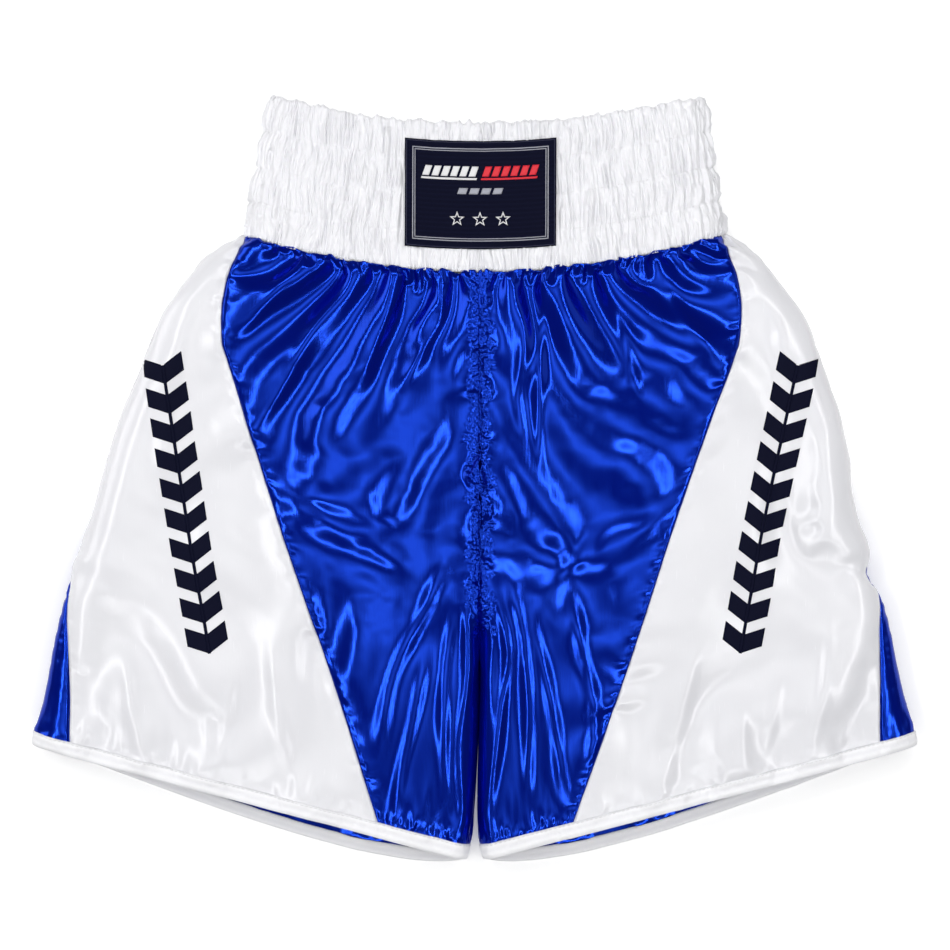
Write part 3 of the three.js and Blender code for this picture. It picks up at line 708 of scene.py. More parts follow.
def colored(nodes, links, shader, share, dark, light):
    """The base colour runs from dark to light with the share."""
    blend = nodes.new("ShaderNodeMix")
    blend.data_type = "RGBA"
    blend.inputs["A"].default_value = (*dark, 1)
    blend.inputs["B"].default_value = (*light, 1)
    links.new(share, blend.inputs["Factor"])
    links.new(blend.outputs["Result"], shader.inputs["Base Color"])


def raised(nodes, links, shader, height, strength, distance):
    bump = add_node(nodes, "Bump", Strength=strength, Distance=distance)
    links.new(height, bump.inputs["Height"])
    links.new(bump.outputs["Normal"], shader.inputs["Normal"])


FLOATS = (900, 60, 1)  # streaks to a metre across and along the warp
SATIN_GRAIN, SATIN_DEEP = 0.12, 0.0004


def satin(name, dark, light, roughness, ior, tint):
    """Satin: long floats on the face give soft metallic glints, with faint streaks along the warp."""
    material, nodes, links, shader = node_material(name)
    cut = on_the_cut(nodes)
    stretch = add_node(nodes, "Mapping", Scale=FLOATS)
    links.new(cut, stretch.inputs["Vector"])
    streaks = noise(nodes, links, stretch.outputs["Vector"], Scale=1.0, Detail=3)
    cloud = noise(nodes, links, cut, Scale=14, Detail=4)
    colored(nodes, links, shader, cloud, dark, light)
    gloss = add_node(nodes, "MapRange", To_Min=roughness - 0.05, To_Max=roughness + 0.07)
    links.new(streaks, gloss.inputs["Value"])
    links.new(gloss.outputs["Result"], shader.inputs["Roughness"])
    raised(nodes, links, shader, streaks, SATIN_GRAIN, SATIN_DEEP)
    shader.inputs["IOR"].default_value = ior
    shader.inputs["Specular Tint"].default_value = (*tint, 1)
    return material


WHITE_GLINT, BLUE_GLINT = (1, 1, 1), (0.020, 0.105, 1.0)
blue_satin = satin("blue_satin", (0.0001, 0.002, 0.12), (0.0001, 0.003, 0.18), 0.16, 3.0, BLUE_GLINT)
white_satin = satin("white_satin", (0.72, 0.72, 0.755), (0.79, 0.79, 0.82), 0.24, 1.6, WHITE_GLINT)
PANELS = {
    "front_panel": (0, SEAMS_AT[0], blue_satin),
    "side_panel": (SEAMS_AT[0], SEAMS_AT[1], white_satin),
    "back_panel": (SEAMS_AT[1], SEAMS_AT[1] + BACK_COLUMNS, blue_satin),
}
cloth = {}
for side, leg in legs.items():
    for panel, (first, last, material) in PANELS.items():
        cut, points = leg["flat"][:, first : last + 1], leg["points"][:, first : last + 1]
        if panel == "front_panel":
            cut, points = finer_rows(cut), finer_rows(points)
            crinkle = crinkled_middle(points, FOLD_SEEDS[side] + 30)
            points = points + normals_of(points) * crinkle[..., None]
            points[points[:, 0, 1] > SEAM_Y - FRONT_RISE, 0, 0] = -MIDDLE_LAP
        piece = cloth_mesh(panel + "_" + side + "_cloth", points, cut, leg["mirror"])
        cloth[panel + "_" + side] = placed(piece, material, panel + "_" + side)


# ==== Hem tapes ====
# A narrow ribbed tape is folded over the raw edge of each leg and sewn through with one row of stitches.
# It shows on the outside, and its other half shows inside the back of the leg.
TAPE_TURN = 8.6  # how far its inner half reaches up
TAPE_OUT, TAPE_IN = 0.7, 1.5  # how far it stands off the satin, outside and inside
TAPE_THICK, TAPE_STITCH_IN = 0.35, 1.4
HEM_COLUMNS = 560


def woven(name, color, painted_valley_shade, pitch, roughness, across=(1, 0)):
    """A woven or ribbed narrow fabric: raised ribs at an even pitch, with painted shade making the colour darker
    where the ribs and their fine grain dip.
    """
    material, nodes, links, shader = node_material(name)
    cut = on_the_cut(nodes)
    ribs = add_node(nodes, "TexWave", Scale=1 / (pitch * MM) / 20, Distortion=0.6, Detail=2, Detail_Scale=3)
    ribs.bands_direction = "X" if across[0] else "Y"
    links.new(cut, ribs.inputs["Vector"])
    both = nodes.new("ShaderNodeMath")
    both.operation = "MULTIPLY_ADD"
    both.inputs[1].default_value = 0.5
    links.new(noise(nodes, links, cut, Scale=700), both.inputs[0])
    links.new(ribs.outputs["Fac"], both.inputs[2])
    ramp = add_node(nodes, "MapRange", From_Max=1.4)
    links.new(both.outputs["Value"], ramp.inputs["Value"])
    # Painted shade: the colour falls to the darker valley colour wherever the raised surface dips.
    colored(nodes, links, shader, ramp.outputs["Result"], painted_valley_shade, color)
    raised(nodes, links, shader, both.outputs["Value"], 0.6, 0.0006)
    shader.inputs["Roughness"].default_value = roughness
    return material


def stitches(name, centre, normal, length=2.6, gap=0.9, radius=0.28, mirror=1, closed=True):
    """A row of lock stitches along a line of points: short rounded floats of thread with gaps between."""
    line = np.vstack([centre, centre[:1]]) if closed else centre
    up = np.vstack([normal, normal[:1]]) if closed else normal
    along = lengths_along(line)
    pitch = length + gap
    count = int(along[-1] // pitch)
    fat = np.array([0.35, 0.9, 1.0, 0.9, 0.35]) * radius
    lift = np.array([-0.35, 0.0, 0.12, 0.0, -0.35]) * radius * 2
    at = (np.arange(count)[:, None] * pitch + gap / 2 + np.linspace(0, 1, len(fat)) * length).ravel()
    p, n = at_places(at, along, line), at_places(at, along, up)
    n /= np.linalg.norm(n, axis=1, keepdims=True)
    ahead = at_places(at + 0.5, along, line) - at_places(at - 0.5, along, line)
    ahead /= np.maximum(np.linalg.norm(ahead, axis=1, keepdims=True), 1e-6)
    over = np.cross(ahead, n)
    turn = np.arange(6) * np.pi / 3
    f = np.tile(fat, count)[:, None, None]
    ring = (p + n * np.tile(lift, count)[:, None])[:, None, :] + f * (
        np.cos(turn)[None, :, None] * over[:, None, :] + np.sin(turn)[None, :, None] * n[:, None, :]
    )
    vertices = ring.reshape(-1, 3) * MM
    vertices[:, 0] *= mirror
    base = (np.arange(count) * 30)[:, None, None, None]
    j, k = np.arange(4)[:, None], np.arange(6)[None, :]
    quads = np.stack([j * 6 + k, j * 6 + (k + 1) % 6, (j + 1) * 6 + (k + 1) % 6, (j + 1) * 6 + k], -1)[None]
    quads = (base + quads).reshape(-1, 4)
    if mirror < 0:
        quads = quads[:, ::-1]
    faces = quads.tolist()
    for c in range(count):
        start, end = [c * 30 + k for k in range(6)], [c * 30 + 24 + k for k in range(6)]
        faces += [start[::-1], end] if mirror > 0 else [start, end[::-1]]
    return new_piece(name, vertices, faces)


def thread(name, color):
    """Spun polyester thread: a fine twist along each stitch."""
    material, nodes, links, shader = node_material(name)
    twist = noise(nodes, links, nodes.new("ShaderNodeTexCoord").outputs["Object"], Scale=2200)
    colored(nodes, links, shader, twist, [c * 0.75 for c in color], color)
    raised(nodes, links, shader, twist, 0.4, 0.0002)
    shader.inputs["Roughness"].default_value = 0.55
    return material


# Its second colour is painted shade for the rib valleys.
white_tape = woven("white_tape", (0.90, 0.90, 0.92), (0.82, 0.82, 0.85), 0.9, 0.75, across=(0, 1))
white_thread = thread("white_thread", (0.86, 0.86, 0.87))


def along_row(leg, row_share, columns):
    """The cloth and its outward direction at a share of the leg's length, at even steps round the leg."""
    at = row_share * LEG_ROWS
    j = int(np.clip(np.floor(at), 0, LEG_ROWS - 1))
    f = at - j
    p = leg["points"][j] * (1 - f) + leg["points"][j + 1] * f
    n = leg["normal"][j] * (1 - f) + leg["normal"][j + 1] * f
    around = leg["around"][j] * (1 - f) + leg["around"][j + 1] * f
    even = np.linspace(around[0], around[-1], columns)
    p, n = at_places(even, around, p), at_places(even, around, n)
    return p, n / np.linalg.norm(n, axis=1, keepdims=True)


hem_columns = np.arange(HEM_COLUMNS)
for side, leg in legs.items():
    edge, edge_out = along_row(leg, 1, HEM_COLUMNS)
    above, _ = along_row(leg, 1 - 2 / LEG_LENGTH, HEM_COLUMNS)
    out_of_hem = edge - above
    out_of_hem /= np.linalg.norm(out_of_hem, axis=1, keepdims=True)
    profile = []
    pucker = 0.25 * value_noise(hem_columns / 3.5, np.zeros(HEM_COLUMNS), 51)
    for k, f in enumerate(np.linspace(1, 0, 9)):
        p, n = along_row(leg, 1 - TAPE * f / LEG_LENGTH, HEM_COLUMNS)
        crown = np.sin(np.pi * k / 8)
        rounded = TAPE_OUT * (1 - 0.6 * (k == 0)) + 0.25 * crown
        crumple = value_noise(hem_columns / 2.2, np.full(HEM_COLUMNS, k / 2.5), 52)
        profile.append(p + n * (rounded + (pucker + 0.16 * crumple)[:, None] * crown))
    reach, middle = (TAPE_OUT + TAPE_IN) / 2, (TAPE_OUT - TAPE_IN) / 2
    for turn in np.linspace(0.25, 0.75, 3) * np.pi:
        profile.append(edge + edge_out * (middle + reach * np.cos(turn)) + out_of_hem * reach * np.sin(turn))
    for f in np.linspace(0, 1, 8):
        p, n = along_row(leg, 1 - TAPE_TURN * f / LEG_LENGTH, HEM_COLUMNS)
        profile.append(p - n * (TAPE_IN + 0.2 * np.sin(np.pi * f)))
    grid = np.array(profile)
    flat = np.stack(np.meshgrid(lengths_along(edge), lengths_along(grid[:, 100])), -1)
    tape = cloth_mesh("hem_tape_%s_ribbed" % side, grid, flat, leg["mirror"], TAPE_THICK)
    placed(tape, white_tape, "hem_tape_" + side)
    p, n = along_row(leg, 1 - (TAPE - TAPE_STITCH_IN) / LEG_LENGTH, HEM_COLUMNS)
    on_tape = p + n * (TAPE_OUT + 0.25)
    piece = stitches("hem_stitching_%s_row" % side, on_tape, n, mirror=leg["mirror"], closed=False)
    placed(piece, white_thread, "hem_stitching_" + side)


# ==== Inner seams ====
# Inside, the raw edges beside every seam are trimmed to a narrow allowance and bound with overlock thread.
ALLOWANCE, MIDDLE_ALLOWANCE = 5.0, (1.5, 13)
ALLOWANCE_THICK = 0.8
UNDER, UNDER_MIDDLE = 1.2, 2.8  # how far below the deepest crease they lie
INSEAM_IN = 2.9
# Its second colour is painted shade for the rib valleys.
overlock_blue = woven("overlock_blue", (0.008, 0.035, 0.42), (0.003, 0.015, 0.22), 1.2, 0.6, across=(0, 1))


def under_cloth(leg, rows, around, depth):
    """Points inside the leg, "depth" below the deepest crease beside them, at the given lengths round it."""
    stand = ((leg["points"] - leg["laid"]) * leg["out"]).sum(-1)
    points, out, sunk = [], [], []
    for j, want in zip(rows, around):
        have = leg["around"][j]
        beside = (have > want.min() - 3) & (have < want.max() + 3)
        sunk.append(stand[j, beside].min())
        points.append(at_places(want, have, leg["laid"][j]))
        out.append(at_places(want, have, leg["out"][j]))
    sunk = np.array(sunk)
    for _ in range(3):
        sunk[1:-1] = np.minimum(sunk[1:-1], np.minimum(sunk[:-2], sunk[2:]))
    return np.array(points) + np.array(out) * (sunk - depth)[:, None, None]


START_ROW = int(12 / LEG_LENGTH * LEG_ROWS)
END_ROW = int((1 - 24 / LEG_LENGTH) * LEG_ROWS)
sewn_on = {}
for side, leg in legs.items():
    rows = list(range(START_ROW, END_ROW))
    for seam, at, way in (("front_seam", SEAMS_AT[0], -1), ("back_seam", SEAMS_AT[1], 1)):
        around = leg["around"][rows, at][:, None] + way * np.linspace(0, ALLOWANCE, 5)
        around = np.sort(around, axis=1)
        strip = under_cloth(leg, rows, around, UNDER)
        down_leg = np.array(rows)[:, None] * LEG_LENGTH / LEG_ROWS + 0 * around
        flat = np.stack([around - around[:, :1], down_leg], -1)
        bound = cloth_mesh(seam + "_allowance_%s_bound" % side, strip, flat, leg["mirror"], ALLOWANCE_THICK)
        placed(bound, overlock_blue, seam + "_allowance_" + side)
        sewn_on[seam.replace("seam", "panel") + "_" + side] = [bound]
    rows = np.arange(int(CROTCH_AT * LEG_ROWS) + 6, END_ROW)
    inner = leg_row(rows / LEG_ROWS)
    x = inner["inner_x"][:, None] + INSEAM_IN + np.linspace(0, ALLOWANCE, 5)
    y = inner["inner_y"][:, None] + SEAM_Y + 0 * x
    z = LAID_HEIGHT / 2 + 0.5 * value_noise(x / 4, y / 9, 62)
    strip = np.stack([x, y, z], -1)
    flat = np.stack([x, -y], -1)
    piece = cloth_mesh("inseam_allowance_%s_bound" % side, strip, flat, leg["mirror"], ALLOWANCE_THICK)
    placed(piece, overlock_blue, "inseam_allowance_" + side)
    sewn_on["back_panel_" + side].append(piece)

MIDDLE_ROWS = list(range(START_ROW, int((FRONT_RISE - CROTCH_EASE - 12) / LEG_LENGTH * LEG_ROWS)))
for name, of_back in (("centre_front_seam_allowance", False), ("centre_back_seam_allowance", True)):
    halves = []
    for side, leg in legs.items():
        reach = np.linspace(*MIDDLE_ALLOWANCE, 4) * np.ones((len(MIDDLE_ROWS), 1))
        if of_back:
            reach = leg["around"][MIDDLE_ROWS, -1][:, None] - reach
        p = under_cloth(leg, MIDDLE_ROWS, reach, UNDER_MIDDLE)
        p[..., 0] *= leg["mirror"]
        halves.append(p)
    strip = np.concatenate([halves[1][:, ::-1], halves[0]], 1)
    flat = np.stack([strip[..., 0], -strip[..., 1]], -1)
    piece = cloth_mesh(name + "_bound", strip, flat, 1, ALLOWANCE_THICK)
    placed(piece, overlock_blue, name)
    sewn_on["back_panel_left" if of_back else "front_panel_left"].append(piece)

for name, bound in sewn_on.items():
    panel = name.rsplit("_", 1)[0]
    above = ["waist_casing_gathered"]


# ==== Waistband ====
# A satin casing, folded over at the top, with four bands of elastic side by side inside it. Rows of stitching
# between the bands hold them, and the satin gathers into fine upright folds as the elastic draws in.
BAND_HEIGHT = 110.0
TOP_HALF, TOP_SAG = 161.0, 21.0  # its top edge: half its width, and how far its sides stand above its middle
BAND_RISE = (band_high[2] - band_low[2]) / MM / 2
CHANNELS = 4
CASING_DEPTH = 4.6  # from its outer satin to its inner
AROUND_BAND = 1600
QUARTER = 168.0  # a quarter of the way round


def on_band(up, turns, depth=0.0):
    """Points of the waistband "up" from its seam and "turns" quarters round from the middle of the front."""
    up, turns = np.broadcast_arrays(np.asarray(up, float), np.asarray(turns, float) % 4)
    half = WAIST_HALF + (TOP_HALF - WAIST_HALF) * up / BAND_HEIGHT
    flat_part = half - SIDE_REACH
    fold = np.pi / 2 * np.hypot(SIDE_REACH, BAND_RISE) / 2**0.5
    length = flat_part + fold
    along = np.abs((turns + 1) % 2 - 1) * length
    turn = np.clip((length - along) / fold, 0, 1) * np.pi / 2
    across = np.where(along < flat_part, along, half - SIDE_REACH * (1 - np.cos(turn)))
    rise = BAND_RISE * np.sin(turn)
    out_x, out_z = np.cos(turn) / SIDE_REACH, np.sin(turn) / BAND_RISE
    size = np.hypot(out_x, out_z)
    across = across - depth * out_x / size
    rise = rise - depth * out_z / size
    sign = np.where(turns < 2, 1, -1)
    back = (turns > 1) & (turns < 3)
    sag = WAIST_SAG + (TOP_SAG - WAIST_SAG) * up / BAND_HEIGHT
    y = SEAM_Y + up + sag * (across / half) ** 2
    points = np.stack([sign * across, y, LAID_HEIGHT / 2 + np.where(back, -rise, rise)], -1)
    outward = np.stack([sign * out_x / size, 0 * y, np.where(back, -1, 1) * out_z / size], -1)
    return points, outward


PUFF, PUFF_SPACING, PUFF_LENGTH = 1.35, 2.6, 34
CREASE, CREASE_SPACING, CREASE_LENGTH = 0.8, 1.35, 11
SWELL, SWELL_SPACING = 0.3, 14


def gathers_at(up, turns, layer=0):
    """How far the gathered satin stands out: upright puffs with narrow valleys, pinched at each row."""
    s = turns * QUARTER
    channel = np.clip(up / (BAND_HEIGHT / CHANNELS), 0, CHANNELS - 1e-3)
    number = np.floor(channel)
    within = channel - number
    shift = 0.9 * value_noise(s / 9, number * 7.3, 71 + layer)
    shift = shift + 1.6 * value_noise(s / 30, up / 24, 75 + layer)
    broad = value_noise((s + shift) / PUFF_SPACING, up / PUFF_LENGTH + number * 0.15, 72 + layer)
    fine = value_noise((s + shift) / CREASE_SPACING, up / CREASE_LENGTH + number * 0.6, 73 + layer)
    slow = value_noise(s / SWELL_SPACING, up / 30, 74 + layer)
    puff = np.abs(broad) ** 0.4 * PUFF + CREASE * np.abs(fine) ** 0.45 + SWELL * slow
    bulge = np.sin(np.pi * within) ** 0.55
    return puff, bulge


UNDER_LABEL = (56, 16, 96)  # half the pressed part's width, its foot and its top


def band_stand(puff, bulge, up, turns):
    """How far the satin stands out from the band, pressed flatter where the label is sewn over it."""
    stand = -1.9 + 0.6 * bulge + puff * (2.1 + 0.5 * bulge)
    at_side = bell(((turns % 2) - 1) * QUARTER, 14)
    stand = stand + at_side * (1.5 * bulge + 0.5 * value_noise(up / 2.6, turns, 79) - 0.9)
    x = np.minimum(turns, 4 - turns) * QUARTER
    edge = np.minimum(UNDER_LABEL[0] - x, np.minimum(up - UNDER_LABEL[1], UNDER_LABEL[2] - up))
    return stand - np.maximum(stand - 1.1, 0) * eased(-0.5, 1.5, edge)


DRAWN_IN = 1.8  # how much closer the threads lie once gathered
turns = np.linspace(0, 4, AROUND_BAND, endpoint=False)
outer_up = np.linspace(-0.8, BAND_HEIGHT - 0.8, 64)[:, None]
puff, bulge = gathers_at(outer_up, turns[None])
near_top = eased(BAND_HEIGHT - 7, BAND_HEIGHT, outer_up)
near_seam = 1 - eased(0, 5, outer_up)
stand = band_stand(puff, bulge, outer_up, turns[None]) + near_top * 0.3 * puff - 0.4 * near_seam
outer, out = on_band(outer_up, turns[None])
outer = outer + out * stand[..., None]
round_band = turns * QUARTER
ruffle = 0.9 * value_noise(round_band / 4.1, 0 * turns, 77) + 0.5 * value_noise(round_band / 1.9, 0 * turns, 78)
outer[..., 1] += eased(BAND_HEIGHT - 14, BAND_HEIGHT, outer_up) * ruffle
over = []
middle = (CASING_DEPTH - 0.9) / 2
for angle in np.linspace(0.15, 0.85, 5) * np.pi:
    p, n = on_band(BAND_HEIGHT - 0.8 + 1.5 * np.sin(angle), turns, middle)
    p = p + n * (middle * np.cos(angle) + 0.25 * (puff[-1] - 0.5))[:, None]
    p[:, 1] += ruffle
    over.append(p)
inner_up = np.linspace(BAND_HEIGHT - 1, -0.5, 26)[:, None]
inner_puff, inner_bulge = gathers_at(inner_up, turns[None], 10)
inner, out = on_band(inner_up, turns[None], CASING_DEPTH)
inner = inner - out * (inner_bulge * 0.5 * inner_puff)[..., None]
inner[..., 1] += eased(BAND_HEIGHT - 14, BAND_HEIGHT, inner_up) * ruffle
casing = np.concatenate([outer, np.array(over), inner], 0)
flat = np.stack(np.meshgrid(round_band * DRAWN_IN, lengths_along(casing[:, 0])), -1)
band = cloth_mesh("waist_casing_gathered", casing, flat, -1, CLOTH, closed=True)
band.data.flip_normals()
white_casing = satin("white_casing", (0.79, 0.79, 0.82), (0.86, 0.86, 0.89), 0.30, 1.5, WHITE_GLINT)
placed(band, white_casing, "waist_casing")
for number in range(CHANNELS):
    at = max(number * BAND_HEIGHT / CHANNELS, 0.9)
    puff_here, bulge_here = gathers_at(np.full_like(turns, at), turns)
    p, n = on_band(at, turns)
    p = p + n * band_stand(puff_here, bulge_here, at, turns)[:, None]
    piece = stitches("waist_stitching_%d_row" % (number + 1), p, n, 2.2, 0.9, 0.22)
    placed(piece, white_thread, "waist_stitching_%d" % (number + 1))

# The elastic lies in the middle of each channel, clear of the stitching.
ELASTIC_FROM, ELASTIC_TO, ELASTIC_DEPTH, ELASTIC_THICK = 2.2, 2.4, 1.75, 1.3
# Its second colour is painted shade for the rib valleys.
elastic_web = woven("elastic_web", (0.82, 0.81, 0.78), (0.58, 0.57, 0.53), 1.4, 0.85, across=(0, 1))
for number in range(CHANNELS):
    low = number * BAND_HEIGHT / CHANNELS + ELASTIC_FROM
    high = (number + 1) * BAND_HEIGHT / CHANNELS - ELASTIC_TO
    rise = np.linspace(low, high, 16)[:, None]
    web, _ = on_band(rise, turns[None, ::4], ELASTIC_DEPTH)
    flat = np.stack(np.meshgrid(round_band[::4], rise[:, 0]), -1)
    piece = cloth_mesh("elastic_band_%d_web" % (number + 1), web, flat, -1, ELASTIC_THICK, closed=True)
    piece.data.flip_normals()
    placed(piece, elastic_web, "elastic_band_%d" % (number + 1))
# The waist seam's allowance hangs just below the band, inside the panels.
rise = np.linspace(-5.3, -0.4, 8)[:, None]
bound, _ = on_band(rise, turns[None, ::2], 2.7)
bound[..., 2] += 0.15 * np.sin(round_band[None, ::2] * 2)
flat = np.stack(np.meshgrid(round_band[::2], rise[:, 0]), -1)
piece = cloth_mesh("waist_seam_allowance_bound", bound, flat, -1, ALLOWANCE_THICK, closed=True)
piece.data.flip_normals()
# Its second colour is painted shade for the rib valleys.
overlock_white = woven("overlock_white", (0.85, 0.85, 0.86), (0.6, 0.6, 0.62), 1.2, 0.7)
placed(piece, overlock_white, "waist_seam_allowance")


# ==== Label ====
# A woven patch sewn to the middle of the waistband round its edge, with a double line, two blocked bars,
# a short bar and three outline stars worked into it.
LABEL_WIDE, LABEL_TALL = 112.0, 80.0
LABEL_UP, LABEL_TOP = 16.0, 31.9  # its foot above the waist seam, and its face above the table
LABEL_THICK = 0.9


def on_label(x, y):
    """The label's face: it bends with the waistband and dips a little where the elastic draws it in."""
    up = LABEL_UP + y
    half = WAIST_HALF + (TOP_HALF - WAIST_HALF) * up / BAND_HEIGHT
    sag = (WAIST_SAG + (TOP_SAG - WAIST_SAG) * up / BAND_HEIGHT) * (x / half) ** 2
    edge = np.minimum(np.minimum(LABEL_WIDE / 2 - np.abs(x), y), LABEL_TALL - y)
    z = LABEL_TOP - 0.9 * np.exp(-np.maximum(edge, 0) / 3) + 0.5 * value_noise(x / 17 + 40, y / 23 + 40, 81)
    z = z + 0.35 * value_noise(x / 5 + 90, y / 26 + 90, 82) * np.exp(-np.maximum(edge, 0) / 14)
    return np.stack([x, SEAM_Y + up + sag, z], -1)


def label_grid(x0, x1, y0, y1, columns, rows, lean=0.0, lift=0.0):
    """A block on the label, leaning over by "lean" of its height."""
    y, x = np.meshgrid(np.linspace(y0, y1, rows), np.linspace(x0, x1, columns), indexing="ij")
    x = x + lean * (y - y0)
    p = on_label(x, y)
    p[..., 2] += lift
    return p, np.stack([x, y], -1)


def joined(name, patches, thickness, mirror=1):
    """Several small grids as one piece, given its thickness outwards."""
    vertices, faces, cuts, start = [], [], [], 0
    for points, uv in patches:
        p, quads, cut = cloth_grid(points, uv, mirror)
        vertices.append(p)
        faces.append(quads + start)
        cuts.append(cut)
        start += len(p)
    return new_piece(name, np.vstack(vertices), np.vstack(faces).tolist(), np.vstack(cuts), thickness, side=1)


def line_patches(corners, width, lift):
    """A stitched line of even width round the corners, mitred where it turns."""
    c = np.array(corners, float)
    previous, following = np.roll(c, 1, 0), np.roll(c, -1, 0)
    unit = lambda v: v / np.linalg.norm(v, axis=1, keepdims=True)
    before, after = unit(c - previous), unit(following - c)
    side_a = np.stack([-before[:, 1], before[:, 0]], 1)
    side_b = np.stack([-after[:, 1], after[:, 0]], 1)
    mitre = unit(side_a + side_b)
    mitre /= np.maximum((mitre * side_a).sum(1), 0.35)[:, None]
    left, right = c + mitre * width / 2, c - mitre * width / 2
    patches = []
    for k in range(len(c)):
        m = (k + 1) % len(c)
        steps = max(3, int(np.linalg.norm(c[m] - c[k]) / LINE_STEP) + 1)
        f = np.linspace(0, 1, steps)[None, :, None]
        g = np.linspace(0, 1, 3)[:, None, None]
        a = right[k] * (1 - f) + right[m] * f
        b = left[k] * (1 - f) + left[m] * f
        xy = a * (1 - g) + b * g
        p = on_label(xy[..., 0], xy[..., 1])
        p[..., 2] += lift
        patches.append((p, xy))
    return patches


LINE_STEP = 1.5
# Its second colour is painted shade for the rib valleys.
navy_weave = woven("navy_weave", (0.0042, 0.0052, 0.019), (0.003, 0.0036, 0.014), 0.55, 0.95, across=(0, 1))
navy_weave.node_tree.nodes["Principled BSDF"].inputs["Specular IOR Level"].default_value = 0.1
grey_thread = thread("grey_thread", (0.40, 0.41, 0.47))
red_thread = thread("red_thread", (0.78, 0.012, 0.03))
navy_thread = thread("navy_thread", (0.012, 0.014, 0.05))
half = LABEL_WIDE / 2
p, uv = label_grid(-half, half, 0, LABEL_TALL, 96, 70)
label = cloth_mesh("label_patch_weave", p[::-1], uv[::-1], 1, LABEL_THICK)
placed(label, navy_weave, "label_patch")


def label_box(inset):
    wide, low, high = half - inset, inset, LABEL_TALL - inset
    return [(-wide, low), (wide, low), (wide, high), (-wide, high)]


LIFT = 0.3  # how far the marks stand off the weave
FRAME_LINES = [(6.0, 0.75), (7.6, 0.6)]  # how far in each line is, and its width
frame_lines = [patch for inset, width in FRAME_LINES for patch in line_patches(label_box(inset), width, LIFT)]
piece = joined("label_frame_lines", frame_lines, 0.25)
placed(piece, grey_thread, "label_frame")
piece = joined("label_stitching_row", line_patches(label_box(1.2), 0.5, LIFT), 0.2)
placed(piece, navy_thread, "label_stitching")

# Two rows of slanted blocks, each over a thin line, and a short row of four below them.
BLOCKS, BLOCK_PITCH, BLOCK_WIDE, BLOCK_LEAN, MARK_THICK = 6, 6.9, 5.0, 0.35, 0.3
BAR_LOW, BAR_HIGH, BAR_LINE, BAR_GAP = 51.0, 61.0, 1.5, 2.6
for name, start, material, slot in (
    ("label_bar_white", -43.0, white_thread, "label_white"),
    ("label_bar_red", 1.5, red_thread, "label_red"),
):
    patches = []
    for k in range(BLOCKS):
        left = start + k * BLOCK_PITCH
        patches.append(label_grid(left, left + BLOCK_WIDE, BAR_LOW + BAR_GAP, BAR_HIGH, 5, 7, BLOCK_LEAN, LIFT))
    end = start + BLOCKS * BLOCK_PITCH - 1.0
    patches.append(label_grid(start - 1, end, BAR_LOW, BAR_LOW + BAR_LINE, 40, 3, BLOCK_LEAN, LIFT))
    placed(joined(name + "_blocks", patches, MARK_THICK), material, name)
SHORT_START, SHORT_PITCH, SHORT_WIDE, SHORT_LOW, SHORT_HIGH = -17.0, 8.7, 6.6, 40.5, 45.0
patches = []
for k in range(4):
    left = SHORT_START + k * SHORT_PITCH
    patches.append(label_grid(left, left + SHORT_WIDE, SHORT_LOW, SHORT_HIGH, 6, 4, BLOCK_LEAN, LIFT))
piece = joined("label_bar_short_blocks", patches, MARK_THICK)
placed(piece, grey_thread, "label_bar_short")
STAR_OUT, STAR_IN, STAR_PITCH, STAR_UP = 4.8, 2.0, 17.0, 22.0
for number in range(3):
    points = []
    for k in range(10):
        reach = STAR_IN if k % 2 else STAR_OUT
        angle = np.pi / 2 + k * np.pi / 5
        points.append(((number - 1) * STAR_PITCH + reach * np.cos(angle), STAR_UP + reach * np.sin(angle)))
    piece = joined("label_star_%d_outline" % (number + 1), line_patches(points, 0.75, LIFT), 0.25)
    placed(piece, white_thread, "label_star_%d" % (number + 1))


# ==== Side prints ====
# A column of chevrons pressed onto each white side panel as one thin film, which follows every fold of the
# satin. A narrow spine down the middle holds the chevrons together.
CHEVRONS, CHEVRON_HALF, CHEVRON_BAND, CHEVRON_POINT, CHEVRON_PITCH = 10, 15.0, 14.0, 8.0, 22.5
SPINE = 1.2
PRINT_TOP, PRINT_FOOT = np.array([236.0, -62.0]), np.array([196.0, -284.0])
FILM, FILM_THICK = 0.18, 0.12
NEAR_ROWS, NEAR_COLUMNS, NEAREST = 26, 90, 6


def height_of(leg, x, y):
    """The height of the front of the cloth above a place on the table, from the nearest points of its grid."""
    out = np.full(x.shape, LAID_HEIGHT)
    front = leg["points"][:, : SEAMS_AT[1] + 1]
    rows = np.clip(np.searchsorted(-front[:, SEAMS_AT[0], 1], -y.ravel()), 8, LEG_ROWS - 8)
    for n, (px, py, j) in enumerate(zip(x.ravel(), y.ravel(), rows)):
        near = front[max(0, j - NEAR_ROWS) : j + NEAR_ROWS + 1, SEAMS_AT[0] : SEAMS_AT[0] + NEAR_COLUMNS]
        d = (near[..., 0] - px) ** 2 + (near[..., 1] - py) ** 2 + np.where(near[..., 2] < LAID_HEIGHT / 2, 1e6, 0)
        k = np.argpartition(d.ravel(), NEAREST)[:NEAREST]
        w = 1 / (d.ravel()[k] + 0.15)
        out.ravel()[n] = (near[..., 2].ravel()[k] * w).sum() / w.sum()
    return out


def film_patch(leg, a, b):
    """A patch of film at a across the column and b down it."""
    xy = PRINT_TOP + a[..., None] * column_across + b[..., None] * column_down
    x, y = xy[..., 0], xy[..., 1] + SEAM_Y
    return np.stack([x, y, height_of(leg, x, y) + FILM], -1), np.stack([a, b], -1)


